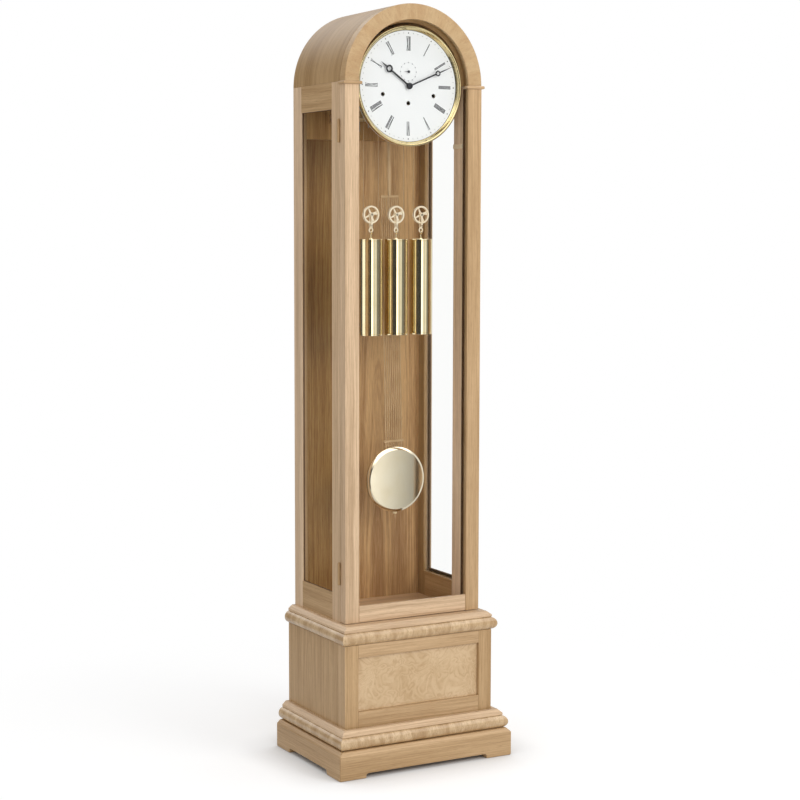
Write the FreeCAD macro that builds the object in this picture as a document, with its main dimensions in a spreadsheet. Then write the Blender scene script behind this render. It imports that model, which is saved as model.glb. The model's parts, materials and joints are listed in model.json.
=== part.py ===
"""Longcase clock with a round-arched glazed door, three weights and a lattice pendulum.

Units are millimetres. +Z is up, the door faces -Y, and the origin is the middle of the
footprint at floor level. Depths are measured from the plane of the back, which stands
against the wall, so a depth counts forward and every piece is placed from that plane.
"""
import FreeCAD, Part
import math
import os
import re

import Sketcher

Vector = FreeCAD.Vector
doc = FreeCAD.newDocument("longcase_clock")

# Driving dimensions
SIZES = {
    # plinth
    "case_height": 2000, "plinth_side_reach": 38, "plinth_front_reach": 45, "plinth_height": 74,
    "plinth_board": 28, "plinth_bevel": 10, "foot_length": 78, "foot_rise": 12, "foot_curve": 7,
    # decks with their half-round edge, and the stepped mould on top of each
    "deck_height": 34, "torus_reach": 32, "lower_step_height": 16,
    "upper_step_height": 15, "step_riser": 6,
    "step_reach": 21, "ledge_reach": 10, "lower_front_reach": 6, "upper_front_reach": 15,
    # base box
    "base_side_reach": 20, "base_front_reach": 35, "base_height": 234, "post_size": 40,
    "base_rail": 22, "base_top_rail": 34, "base_low_rail": 56, "panel_recess": 8,
    "panel_board": 14, "base_side_board": 20, "thin_board": 10,
    # trunk
    "trunk_width": 408, "trunk_depth": 268, "side_board": 22, "front_stile": 45,
    "rear_stile": 47, "jamb_setback": 1, "side_low_rail": 88, "side_top_rail": 69, "floor_board": 12,
    "glass_thickness": 4, "side_glass_recess": 8, "glass_lap": 8, "glass_play": 0.3,
    "roof_board": 8, "arch_rib": 14, "arch_rib_depth": 20, "sound_board_thickness": 18,
    "sound_board_drop": 131,
    # door
    "door_gap": 1, "door_thickness": 29, "door_stile_width": 41, "door_low_rail": 44,
    "door_foot_gap": 1.5, "door_lip": 10, "capital_height": 8, "capital_reach": 6,
    "capital_round": 3,
    # hinges, and the catch on the jamb
    "hinge_length": 58, "hinge_top_drop": 126, "hinge_low_rise": 145, "leaf_thickness": 1.5,
    "leaf_width": 20, "knuckle_radius": 3.5, "pin_radius": 1.5, "pin_head": 2.4,
    "catch_drop": 151, "catch_height": 12, "catch_width": 4, "catch_depth": 42,
    # dial
    "dial_setback": 4, "dial_drop": 5, "dial_radius": 144, "dial_plate_thickness": 2, "bezel_width": 12,
    "bezel_rise": 12, "bezel_nose": 3.5, "dial_hole_play": 0.8, "seconds_rise": 37,
    "side_winding_spread": 76, "side_winding_drop": 23, "mid_winding_drop": 44,
    "winding_hole_radius": 6,
    # movement
    "movement_plate": 3, "movement_depth": 63,
    "movement_half_width": 112, "movement_above": 90, "movement_below": 90,
    "pillar_radius": 4, "pillar_inset": 6, "dial_foot_radius": 3, "dial_foot_length": 16,
    "bracket_height": 24,
    "bracket_board": 6, "running_gap": 0.05, "arbor_radius": 3,
    # hands
    "minute_length": 138, "minute_ring_at": 91, "minute_ring": 7.5, "hour_length": 102,
    "hour_ring_at": 73, "hour_ring": 10, "hand_thickness": 1.2, "hand_hub": 8.5,
    "hour_hand_rise": 5, "minute_hand_rise": 9, "centre_arbor": 2.4, "hour_pipe": 4.2,
    "minute_angle": 67.2, "hour_angle": 305.6, "seconds_length": 15, "seconds_rise_gap": 2,
    "seconds_arbor": 1.2,
    # escapement
    "escape_radius": 17, "tooth_height": 3.5, "escape_thickness": 2, "escape_reach": 29,
    "anchor_rise": 61, "anchor_arbor": 1.5, "pallet_thickness": 2.2,
    "pallet_gap": 1, "crutch_gap": 13, "crutch_drop": 84, "fork_gap": 0.2, "fork_arm": 2,
    # pendulum
    "pendulum_gap": 17, "swing_at_rest": 1.25, "rod_radius": 1.6, "rod_pitch": 6,
    "upper_bar_drop": 345, "lower_bar_rise": 105, "inner_bar_rise": 50,
    "upper_bar_width": 54, "lower_bar_width": 60, "bar_height": 6, "bar_depth": 5,
    "hanger_width": 9, "hanger_thickness": 2.4, "bob_rise": 366, "bob_radius": 89,
    "bob_bulge": 8, "bob_rim": 4, "bob_back": 1.2, "nut_radius": 5.5, "nut_height": 6,
    "rod_end": 12, "block_height": 10, "block_width": 12, "block_depth": 5,
    "hanging_pin": 2, "cheek_thickness": 3, "cheek_play": 0.8, "cock_height": 8, "cock_width": 16,
    # weights, pulleys, cables and drums
    "drum_play": 2, "weight_radius": 31, "weight_height": 255, "weight_drop": 397,
    "weight_edge": 1.5, "hook_radius": 1.2, "hook_ring": 4, "hook_rod": 1.5,
    "pulley_drop": 333, "pulley_radius": 24.5, "pulley_rim": 5.5, "pulley_thickness": 8,
    "groove_depth": 3, "hub_radius": 5, "spoke_width": 3.4, "spoke_thickness": 3,
    "spoke_angle": 25, "axle_radius": 2, "stirrup_arm": 5, "stirrup_plate": 1.6,
    "stirrup_gap": 1, "bridge_drop": 27, "bridge_height": 5, "loop_radius": 7,
    "loop_hole": 3.6, "loop_thickness": 2.4, "loop_height": 18, "cable_radius": 0.8,
    "drum_width": 30, "drum_flange": 2.5, "flange_rise": 3, "stay_post": 2.5,
    "stay_reach": 8, "stay_thickness": 1.6, "stay_height": 3, "great_wheel_radius": 33,
    "great_wheel_thickness": 3, "great_wheel_gap": 10,
    # chime
    "chime_rod_radius": 2, "chime_rod_depth": 46, "chime_rod_pitch": 28,
    "chime_rod_length": 252, "chime_rod_step": 10, "chime_block_rise": 134,
    "chime_block_height": 20, "chime_block_depth": 24, "chime_block_width": 140,
    "hammer_depth": 78, "hammer_drop": 20, "hammer_arm": 34, "hammer_head": 6,
    "hammer_arbor": 2, "hammer_gap": 2, "lug_width": 6,
    # one overrun for every cut
    "overrun": 5,
}
ESCAPE_TEETH = 30
SPOKES = 4
LATTICE_RODS = 9
CHIME_RODS = 5

sheet = doc.addObject("Spreadsheet::Sheet", "Sizes")
for row, (size_name, size_value) in enumerate(SIZES.items(), 1):
    sheet.set("A%d" % row, size_name)
    sheet.set("B%d" % row, str(size_value))
    sheet.setAlias("B%d" % row, size_name)
doc.recompute()

ALIAS = re.compile(r"(?<![.\w])(%s)\b" % "|".join(sorted(SIZES, key=len, reverse=True)))

# Planes and levels that several pieces share, as expressions of the driving dimensions
SPRINGING = "(case_height - trunk_width / 2)"
ARBOR = "(%s - dial_drop)" % SPRINGING
DECK_LOW = "plinth_height"
BASE_FOOT = "(plinth_height + deck_height)"
DECK_HIGH = "(plinth_height + deck_height + base_height)"
TRUNK_FOOT = "(plinth_height + 2 * deck_height + base_height)"
STEP_TOP = "(%s + upper_step_height)" % TRUNK_FOOT
DOOR_FOOT = "(%s + door_foot_gap)" % STEP_TOP
DOOR_BACK = "(trunk_depth + door_gap)"
DOOR_FACE = "(trunk_depth + door_gap + door_thickness)"
OPENING = "(trunk_width / 2 - door_stile_width)"
JAMB_FACE = "(%s + jamb_setback)" % OPENING
REBATE = "(trunk_width / 2 - door_stile_width + glass_lap)"
CAPITAL_FOOT = "(%s - capital_height)" % SPRINGING
SIDE_INNER = "(trunk_width / 2 - side_board)"
PIVOT = "(%s + anchor_rise)" % ARBOR
GROOVE_SLANT = "sqrt(1 + (2 * groove_depth / pulley_thickness)^2)"
CABLE_RING = ("(pulley_radius - groove_depth + (cable_radius + running_gap) * %s)"
              % GROOVE_SLANT)

# Widths and depths that follow from one another: the base and the plinth reach out past the
# trunk and the door, the dial stands back from the front of the trunk, the movement hangs
# behind the dial, and the pendulum swings behind the movement
FOLLOWING = {
    "base_width": "(trunk_width + 2 * base_side_reach)",
    "plinth_width": "(base_width + 2 * plinth_side_reach)",
    "base_depth": "(trunk_depth + door_gap + door_thickness + base_front_reach)",
    "plinth_depth": "(base_depth + plinth_front_reach)",
    "dial_depth": "(trunk_depth - dial_setback)",
    "front_plate_depth": "(dial_depth - dial_plate_thickness - dial_foot_length)",
    "great_wheel_depth": "(front_plate_depth - great_wheel_gap)",
    "back_plate_depth": "(front_plate_depth - movement_depth)",
    "weight_depth": "(back_plate_depth + drum_play + drum_width / 2)",
    "escape_depth": "(back_plate_depth + escape_reach)",
    "crutch_depth": "(back_plate_depth - movement_plate - crutch_gap)",
    "pendulum_depth": "(crutch_depth - pendulum_gap)",
}
FOLLOWING_NAME = re.compile(r"\b(%s)\b" % "|".join(FOLLOWING))

nodes = {}


def spelled_out(text):
    """Write what follows from other sizes out in driving dimensions."""
    text = str(text)
    while FOLLOWING_NAME.search(text):
        text = FOLLOWING_NAME.sub(lambda found: FOLLOWING[found.group()], text)
    return text


def bound(text):
    """Turn plain size names into references to the sheet."""
    return ALIAS.sub(r"Sizes.\1", spelled_out(text))


def value(text):
    """The number that an expression gives."""
    result = sheet.evalExpression(spelled_out(text))
    return float(getattr(result, "Value", result))


def bind(thing, **properties):
    """Bind properties to expressions, with double underscores for dots."""
    for name, text in properties.items():
        thing.setExpression(name.replace("__", "."), bound(text))
    return thing


def place(thing, x="0", depth="0", z="0"):
    """Set a piece down at x, at a depth from the back plane and at a height."""
    return bind(thing, Placement__Base__x=x, Placement__Base__z=z,
                Placement__Base__y="plinth_depth / 2 - (%s)" % depth)


def node(name, thing):
    """Name a finished sub-part."""
    thing.Label = name
    nodes[name] = thing
    return thing


# Boards and turned blanks from primitives

def board(name, x, depth, z):
    """A board between two x, two depths and two levels."""
    box = doc.addObject("Part::Box", name)
    bind(box, Length="(%s) - (%s)" % (x[1], x[0]), Width="(%s) - (%s)" % (depth[1], depth[0]),
         Height="(%s) - (%s)" % (z[1], z[0]))
    return place(box, x[0], depth[1], z[0])


def mirrored_pair(name, x, depth, z):
    """Two like boards, the second on the other side of the middle plane."""
    right = board(name + "_right", x, depth, z)
    left = board(name + "_left", ("-(%s)" % x[1], "-(%s)" % x[0]), depth, z)
    return [right, left]


def disc(name, radius, depth, x="0", z="0", angle="360"):
    """A round bar along Y between two depths, or the upper half of one."""
    bar = doc.addObject("Part::Cylinder", name)
    bind(bar, Radius=radius, Height="(%s) - (%s)" % (depth[1], depth[0]), Angle=angle)
    bar.Placement.Rotation = FreeCAD.Rotation(Vector(1, 0, 0), 90)
    return place(bar, x, depth[0], z)


def upright(name, radius, z, x="0", depth="0"):
    """A round bar along Z between two levels."""
    bar = doc.addObject("Part::Cylinder", name)
    bind(bar, Radius=radius, Height="(%s) - (%s)" % (z[1], z[0]))
    return place(bar, x, depth, z[0])


def crossbar(name, radius, x, depth="0", z="0"):
    """A round bar along X."""
    bar = doc.addObject("Part::Cylinder", name)
    bind(bar, Radius=radius, Height="(%s) - (%s)" % (x[1], x[0]))
    bar.Placement.Rotation = FreeCAD.Rotation(Vector(0, 1, 0), 90)
    return place(bar, x[0], depth, z)


def fuse(name, pieces):
    union = doc.addObject("Part::MultiFuse", name)
    union.Shapes = pieces
    return union


def cut(name, base, tool):
    result = doc.addObject("Part::Cut", name)
    result.Base = base
    result.Tool = tool
    return result


def group(name, pieces):
    """Separate solids that share a node."""
    compound = doc.addObject("Part::Compound", name)
    compound.Links = pieces
    return compound


def mirror(name, source):
    other = doc.addObject("Part::Mirroring", name)
    other.Source = source
    other.Normal = Vector(1, 0, 0)
    return other


# Sketched pieces

def new_body(name):
    return doc.addObject("PartDesign::Body", name)


def arc_centre(first, last, fixed):
    """The centre of an arc from its ends and one coordinate of its centre."""
    middle_x = (first[0] + last[0]) / 2
    middle_y = (first[1] + last[1]) / 2
    run = last[0] - first[0]
    rise = last[1] - first[1]
    if "cx" in fixed:
        centre_x = value(fixed["cx"])
        return centre_x, middle_y - (centre_x - middle_x) * run / rise
    centre_y = value(fixed["cy"])
    return middle_x - (centre_y - middle_y) * rise / run, centre_y


def pin_coordinate(sketch, kind, geometry, position, text):
    index = sketch.addConstraint(
        Sketcher.Constraint(kind, -1, 1, geometry, position, value(text)))
    sketch.setExpression("Constraints[%d]" % index, bound(text))


def add_outline(sketch, outline):
    """A closed outline: (x, y) points, and (x, y, arc) where an arc leads to the point."""
    points = [(value(entry[0]), value(entry[1])) for entry in outline]
    ends = []
    for index, entry in enumerate(outline):
        first = points[index - 1]
        last = points[index]
        if len(entry) == 2:
            line = Part.LineSegment(Vector(first[0], first[1], 0), Vector(last[0], last[1], 0))
            ends.append((sketch.addGeometry(line), 1, 2))
            continue
        centre = arc_centre(first, last, entry[2])
        turn = entry[2]["turn"]
        start, stop = (first, last) if turn > 0 else (last, first)
        start_angle = math.atan2(start[1] - centre[1], start[0] - centre[0])
        stop_angle = math.atan2(stop[1] - centre[1], stop[0] - centre[0])
        if stop_angle <= start_angle:
            stop_angle += 2 * math.pi
        radius = math.hypot(start[0] - centre[0], start[1] - centre[1])
        circle = Part.Circle(Vector(centre[0], centre[1], 0), Vector(0, 0, 1), radius)
        arc = sketch.addGeometry(Part.ArcOfCircle(circle, start_angle, stop_angle))
        ends.append((arc, 1, 2) if turn > 0 else (arc, 2, 1))
        if "cx" in entry[2]:
            pin_coordinate(sketch, "DistanceX", arc, 3, entry[2]["cx"])
        else:
            pin_coordinate(sketch, "DistanceY", arc, 3, entry[2]["cy"])
    for index, entry in enumerate(outline):
        here, _, here_end = ends[index]
        following, following_start, _ = ends[(index + 1) % len(outline)]
        sketch.addConstraint(
            Sketcher.Constraint("Coincident", here, here_end, following, following_start))
        pin_coordinate(sketch, "DistanceX", here, here_end, entry[0])
        pin_coordinate(sketch, "DistanceY", here, here_end, entry[1])


def add_circle(sketch, x, y, radius):
    centre = Vector(value(x), value(y), 0)
    circle = sketch.addGeometry(Part.Circle(centre, Vector(0, 0, 1), value(radius)))
    pin_coordinate(sketch, "DistanceX", circle, 3, x)
    pin_coordinate(sketch, "DistanceY", circle, 3, y)
    index = sketch.addConstraint(Sketcher.Constraint("Radius", circle, value(radius)))
    sketch.setExpression("Constraints[%d]" % index, bound(radius))


def add_sketch(body, plane, outlines=(), circles=()):
    """A sketch on one of the body's own planes: XY, XZ or YZ."""
    sketch = body.newObject("Sketcher::SketchObject", body.Name + "_sketch")
    role = plane + "_Plane"
    support = [item for item in body.Origin.OriginFeatures if item.Role == role][0]
    sketch.AttachmentSupport = [(support, "")]
    sketch.MapMode = "FlatFace"
    for outline in outlines:
        add_outline(sketch, outline)
    for circle in circles:
        add_circle(sketch, *circle)
    doc.recompute()
    return sketch


def pad(body, sketch, length, middle=False, backwards=False):
    feature = body.newObject("PartDesign::Pad", body.Name + "_pad")
    feature.Profile = sketch
    feature.Midplane = middle
    feature.Reversed = backwards
    bind(feature, Length=length)
    doc.recompute()
    return feature


def pocket_through(body, sketch):
    """Cut a sketch right through the body, both ways."""
    before = body.Shape.Volume
    feature = body.newObject("PartDesign::Pocket", body.Name + "_pocket")
    feature.Profile = sketch
    feature.Type = "ThroughAll"
    feature.Midplane = True
    doc.recompute()
    if not body.Shape.Volume < before:
        raise RuntimeError("the pocket of %s cuts nothing" % body.Name)
    return feature


def revolve(body, sketch, axis):
    feature = body.newObject("PartDesign::Revolution", body.Name + "_revolution")
    feature.Profile = sketch
    feature.ReferenceAxis = (sketch, [axis])
    feature.Angle = 360
    doc.recompute()
    return feature


def turned(name, outline):
    """A turned piece about Y. The outline gives radius and depth behind the body's origin."""
    body = new_body(name)
    revolve(body, add_sketch(body, "XY", [outline]), "V_Axis")
    return body


def rectangle(x, y):
    return [(x[0], y[0]), (x[1], y[0]), (x[1], y[1]), (x[0], y[1])]


# Mitred mouldings: a front strip, a right strip and its mirror on the left

def strip_outline(section, start, sign):
    """A section of (reach, level) points set out from the face that it is glued to."""
    outline = []
    for entry in section:
        point = ("%s(%s + %s)" % (sign, start, entry[0]), entry[1])
        if len(entry) == 3:
            centre = "%s(%s + %s)" % (sign, start, entry[2])
            point += ({"cx": centre, "turn": -1 if sign else 1},)
        outline.append(point)
    return outline


def mitred_strips(name, section, reach, half_width, corner_depth, inner_section=None):
    """Strips of one section round the front and sides of a box, mitred at its corners."""
    far_x = "(%s + %s + overrun)" % (half_width, reach)
    far_depth = "(%s + %s + overrun)" % (corner_depth, reach)
    front = new_body(name + "_front")
    outline = strip_outline(inner_section or section, corner_depth, "-")
    pad(front, add_sketch(front, "YZ", [outline]), "2 * " + far_x, middle=True)
    ends = [[(side + half_width, "-" + corner_depth), (side + far_x, "-" + far_depth),
             (side + far_x, "overrun"), (side + half_width, "overrun")] for side in ("", "-")]
    pocket_through(front, add_sketch(front, "XY", ends))
    place(front)
    right = new_body(name + "_right")
    outline = strip_outline(section, half_width, "")
    pad(right, add_sketch(right, "XZ", [outline]), far_depth)
    mitre = [(half_width, "-" + corner_depth), (far_x, "-" + far_depth),
             (far_x, "-(%s + overrun)" % far_depth), (half_width, "-(%s + overrun)" % far_depth)]
    pocket_through(right, add_sketch(right, "XY", [mitre]))
    place(right)
    return front, right


def both_sides(right, name):
    return [right, mirror(name + "_left", right)]


def foot_cut_out(low, high):
    """The gap between two feet, with a quarter-round haunch at each end."""
    haunch = {"cy": "foot_rise - foot_curve", "turn": 1}
    return [(low, "-overrun"), (high, "-overrun"), (high, "foot_rise - foot_curve"),
            ("%s - foot_curve" % high, "foot_rise", haunch),
            ("%s + foot_curve" % low, "foot_rise"),
            (low, "foot_rise - foot_curve", haunch)]


def plinth():
    """Bracket plinth: bevelled boards with a shallow cut-out between curved feet."""
    half = "(plinth_width / 2 - plinth_board)"
    depth = "(plinth_depth - plinth_board)"
    section = [("0", "0"), ("plinth_board", "0"),
               ("plinth_board", "plinth_height - plinth_bevel"),
               ("plinth_board - plinth_bevel", "plinth_height"), ("0", "plinth_height")]
    front, right = mitred_strips("plinth", section, "plinth_board", half, depth)
    inner_foot = "(plinth_width / 2 - foot_length)"
    pocket_through(front, add_sketch(front, "XZ", [foot_cut_out("-" + inner_foot, inner_foot)]))
    side_gap = foot_cut_out("-(plinth_depth - foot_length)", "-foot_length")
    pocket_through(right, add_sketch(right, "YZ", [side_gap]))
    node("plinth_front_board", front)
    node("plinth_side_boards", group("plinth_sides", both_sides(right, "plinth")))
    back = board("plinth_back", ("-" + half, half), ("0", "plinth_board"), ("0", "plinth_height"))
    inner = "(base_width / 2 - base_side_board)"
    base_back = board("base_back", ("-" + inner, inner), ("0", "thin_board"),
                      (BASE_FOOT, DECK_HIGH))
    node("lower_back_boards", group("lower_backs", [back, base_back]))


def deck(names, half_box, box_front, front_reach, low, step_height, inner_depth):
    """A deck board with its half-round edge, and the stepped mould that stands on it."""
    deck_name, torus_name, step_name = names
    radius = "(deck_height / 2)"
    half = "(%s + torus_reach - %s)" % (half_box, radius)
    corner = "(%s + %s)" % (box_front, front_reach)
    front = "(%s + torus_reach - %s)" % (corner, radius)
    high = "(%s + deck_height)" % low
    node(deck_name, board(deck_name, ("-" + half, half), ("0", front), (low, high)))

    half_round = [("0", low), ("0", high, "0")]
    front_strip, right = mitred_strips(torus_name, half_round, radius, half, front)
    node(torus_name, group(torus_name + "_set", [front_strip] + both_sides(right, torus_name)))

    top = "(%s + %s)" % (high, step_height)
    outer = [("step_reach", high), ("step_reach", "%s + step_riser" % high), ("ledge_reach", top)]
    inward = "-(%s - %s)" % (corner, inner_depth)
    front_strip, right = mitred_strips(
        step_name, [("0", high)] + outer + [("0", top)], "step_reach", half_box, corner,
        inner_section=[(inward, high)] + outer + [(inward, top)])
    node(step_name, group(step_name + "_set", [front_strip] + both_sides(right, step_name)))


def base_box():
    """Front frame of corner posts and rails round a recessed panel, with plain sides."""
    half = "(base_width / 2)"
    level = (BASE_FOOT, DECK_HIGH)
    inner = "(base_width / 2 - post_size)"
    posts = mirrored_pair("post", (inner, half), ("base_depth - post_size", "base_depth"), level)
    node("base_corner_posts", group("posts", posts))
    rail_depth = ("base_depth - base_rail", "base_depth")
    span = ("-" + inner, inner)
    panel_low = "(%s + base_low_rail)" % BASE_FOOT
    panel_high = "(%s - base_top_rail)" % DECK_HIGH
    low = board("base_rail_low", span, rail_depth, (BASE_FOOT, panel_low))
    high = board("base_rail_high", span, rail_depth, (panel_high, DECK_HIGH))
    node("base_front_rails", group("base_rails", [low, high]))
    face = "(base_depth - panel_recess)"
    node("base_front_panel", board("panel", span, ("%s - panel_board" % face, face),
                                   (panel_low, panel_high)))
    sides = mirrored_pair("base_side", ("%s - base_side_board" % half, half),
                          ("0", "base_depth - post_size"), level)
    node("base_side_panels", group("base_sides", sides))


def trunk_sides():
    """Glazed side frames, rebated on the inside for their panes, and the door's jambs."""
    outer = "(trunk_width / 2)"
    glass_outer = "(trunk_width / 2 - side_glass_recess)"
    low = "(%s + side_low_rail)" % TRUNK_FOOT
    high = "(%s - side_top_rail)" % SPRINGING
    rear = "rear_stile"
    front = "(trunk_depth - front_stile)"
    level = (TRUNK_FOOT, SPRINGING)

    def rebated(name, x, depth, z, opening_depth, opening_z):
        """Cut the pane's rebate, on the inside of the frame, from a pair of boards."""
        pieces = []
        for side in ("", "-"):
            span = x if not side else ("-(%s)" % x[1], "-(%s)" % x[0])
            rebate = (SIDE_INNER + " - overrun", glass_outer)
            if side:
                rebate = ("-(%s)" % rebate[1], "-(%s)" % rebate[0])
            label = name + ("_left" if side else "_right")
            blank = board(label + "_blank", span, depth, z)
            tool = board(label + "_rebate", rebate, opening_depth, opening_z)
            pieces.append(cut(label, blank, tool))
        return pieces

    pane_depth = ("%s - glass_lap" % rear, "%s + glass_lap" % front)
    pane_z = ("%s - glass_lap" % low, "%s + glass_lap" % high)
    x = (SIDE_INNER, outer)
    stiles = rebated("rear_stile_piece", x, ("0", rear), level, pane_depth, pane_z)
    front_stiles = rebated("front_stile_piece", x, (front, "trunk_depth"), level,
                           pane_depth, pane_z)
    # the left front stile carries the case leaves of the hinges in shallow mortises
    mortised = front_stiles[1]
    for hinge, centre in hinge_levels():
        pocket = board("case_mortise_" + hinge, ("-(%s)" % outer, "-(%s - leaf_width)" % outer),
                       ("trunk_depth - leaf_thickness", "trunk_depth + overrun"),
                       ("%s - hinge_length / 2" % centre, "%s + hinge_length / 2" % centre))
        mortised = cut("front_stile_mortised_" + hinge, mortised, pocket)
    # a jamb thickens each front stile on the inside, just behind the door's opening
    jambs = mirrored_pair("jamb", (JAMB_FACE, SIDE_INNER), (front, "trunk_depth"),
                          ("%s + floor_board" % TRUNK_FOOT, SPRINGING))
    node("side_stiles", group("side_stile_set", stiles + [front_stiles[0], mortised] + jambs))
    rails = rebated("side_rail_low", x, (rear, front), (TRUNK_FOOT, low), pane_depth, pane_z)
    rails += rebated("side_rail_high", x, (rear, front), (high, SPRINGING), pane_depth, pane_z)
    node("side_rails", group("side_rail_set", rails))
    panes = mirrored_pair("side_pane", ("%s - glass_thickness" % glass_outer, glass_outer),
                          ("%s + glass_play" % pane_depth[0], "%s - glass_play" % pane_depth[1]),
                          ("%s + glass_play" % pane_z[0], "%s - glass_play" % pane_z[1]))
    node("side_glass_panes", group("side_pane_set", panes))


def round_topped(name, half_width, radius, depth, low):
    """A panel with straight sides up to the springing and a half-round head."""
    body = new_body(name)
    outline = [("-%s" % half_width, low), (half_width, low), (half_width, SPRINGING)]
    if value(radius) != value(half_width):
        outline.append((radius, SPRINGING))
    outline.append(("-%s" % radius, SPRINGING, {"cy": SPRINGING, "turn": 1}))
    if value(radius) != value(half_width):
        outline.append(("-%s" % half_width, SPRINGING))
    pad(body, add_sketch(body, "XZ", [outline]), "(%s) - (%s)" % (depth[1], depth[0]))
    return place(body, depth=depth[0])


def half_ring(name, outer, inner, depth):
    """The upper half of a flat ring that stands on the springing line."""
    blank = disc(name + "_blank", outer, depth, z=SPRINGING, angle="180")
    bore = disc(name + "_bore", inner, ("%s - overrun" % depth[0], "%s + overrun" % depth[1]),
                z=SPRINGING)
    return cut(name, blank, bore)


def trunk_shell():
    """Floor, back, sound board, and the bent roof on its rib."""
    roof_inner = "(trunk_width / 2 - roof_board)"
    node("case_floor_board", board("floor", ("-" + SIDE_INNER, SIDE_INNER),
                                   ("thin_board", "trunk_depth"),
                                   (TRUNK_FOOT, "%s + floor_board" % TRUNK_FOOT)))
    node("back_panel", round_topped("back_panel", SIDE_INNER, roof_inner, ("0", "thin_board"),
                                    TRUNK_FOOT))
    sound_half = "(%s - glass_play)" % SIDE_INNER
    node("sound_board", round_topped("sound_board", sound_half, sound_half,
                                     ("thin_board", "thin_board + sound_board_thickness"),
                                     "(%s - sound_board_drop)" % ARBOR))
    node("roof_skin", half_ring("roof_skin", "trunk_width / 2", roof_inner,
                                ("0", "trunk_depth")))
    node("front_arch_rib", half_ring("front_arch_rib", roof_inner,
                                     "%s - arch_rib" % roof_inner,
                                     ("trunk_depth - arch_rib_depth", "trunk_depth")))


def hinge_levels():
    return [("top", "(%s - hinge_top_drop)" % SPRINGING),
            ("low", "(%s + hinge_low_rise)" % TRUNK_FOOT)]


def door():
    """Glazed door: stiles, bottom rail and arched head, rebated for one round-topped pane."""
    outer = "(trunk_width / 2)"
    back = DOOR_BACK
    face = DOOR_FACE
    shoulder = "(%s - door_lip)" % face
    glass_low = "(%s + door_low_rail - glass_lap)" % DOOR_FOOT
    rebate_depth = ("%s - overrun" % back, shoulder)

    stiles = []
    for side in ("", "-"):
        label = "door_stile_" + ("left" if side else "right")
        span = (OPENING, outer) if not side else ("-" + outer, "-" + OPENING)
        rebate = (OPENING + " - overrun", REBATE)
        if side:
            rebate = ("-(%s)" % rebate[1], "-(%s)" % rebate[0])
        blank = board(label + "_blank", span, (back, face), (DOOR_FOOT, CAPITAL_FOOT))
        tool = board(label + "_rebate", rebate, rebate_depth,
                     (glass_low, CAPITAL_FOOT + " + overrun"))
        stiles.append(cut(label, blank, tool))
    mortised = stiles[1]
    for hinge, centre in hinge_levels():
        pocket = board("door_mortise_" + hinge, ("-(%s)" % outer, "-(%s - leaf_width)" % outer),
                       (back + " - overrun", back + " + leaf_thickness"),
                       ("%s - hinge_length / 2" % centre, "%s + hinge_length / 2" % centre))
        mortised = cut("door_stile_mortised_" + hinge, mortised, pocket)
    node("door_stiles", group("door_stile_pair", [stiles[0], mortised]))

    rail = board("door_rail_blank", ("-" + OPENING, OPENING), (back, face),
                 (DOOR_FOOT, "%s + door_low_rail" % DOOR_FOOT))
    tool = board("door_rail_rebate", ("-%s - overrun" % OPENING, OPENING + " + overrun"),
                 rebate_depth, (glass_low, "%s + door_low_rail + overrun" % DOOR_FOOT))
    node("door_bottom_rail", cut("door_rail", rail, tool))

    ring = half_ring("door_arch", outer, OPENING, (back, face))
    tool = disc("door_arch_rebate", REBATE, rebate_depth, z=SPRINGING)
    node("door_arch_head", cut("door_arch_rebated", ring, tool))

    half = "(%s - glass_play)" % REBATE
    node("door_glass", round_topped("door_glass", half, half,
                                    ("%s - glass_thickness" % shoulder, shoulder),
                                    "(%s + glass_play)" % glass_low))
    node("door_capital_beads", group("capital_pair", capitals(outer, back, face, shoulder)))


def capitals(outer, back, face, shoulder):
    """A rounded bead between each stile and the foot of the arch, proud on three sides."""
    body = new_body("capital_right")
    x = ("%s - capital_reach" % OPENING, "%s + capital_reach" % outer)
    depth = ("-(%s + capital_reach)" % face, "-(%s)" % back)
    blank = pad(body, add_sketch(body, "XY", [rectangle(x, depth)]), "capital_height")
    back_y = -value(back)
    edges = []
    for index, edge in enumerate(blank.Shape.Edges, 1):
        level = abs(edge.Vertexes[0].Z - edge.Vertexes[1].Z) < value("running_gap")
        behind = all(abs(v.Y - back_y) < value("running_gap") for v in edge.Vertexes)
        if level and not behind:
            edges.append("Edge%d" % index)
    fillet = body.newObject("PartDesign::Fillet", "capital_fillet")
    fillet.Base = (blank, edges)
    bind(fillet, Radius="capital_round")
    doc.recompute()
    clear = [("%s - capital_reach - overrun" % OPENING, "-(%s)" % shoulder),
             (REBATE, "-(%s)" % shoulder), (REBATE, "overrun"),
             ("%s - capital_reach - overrun" % OPENING, "overrun")]
    pocket_through(body, add_sketch(body, "XY", [clear]))
    place(body, z=CAPITAL_FOOT)
    return [body, mirror("capital_left", body)]


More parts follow.
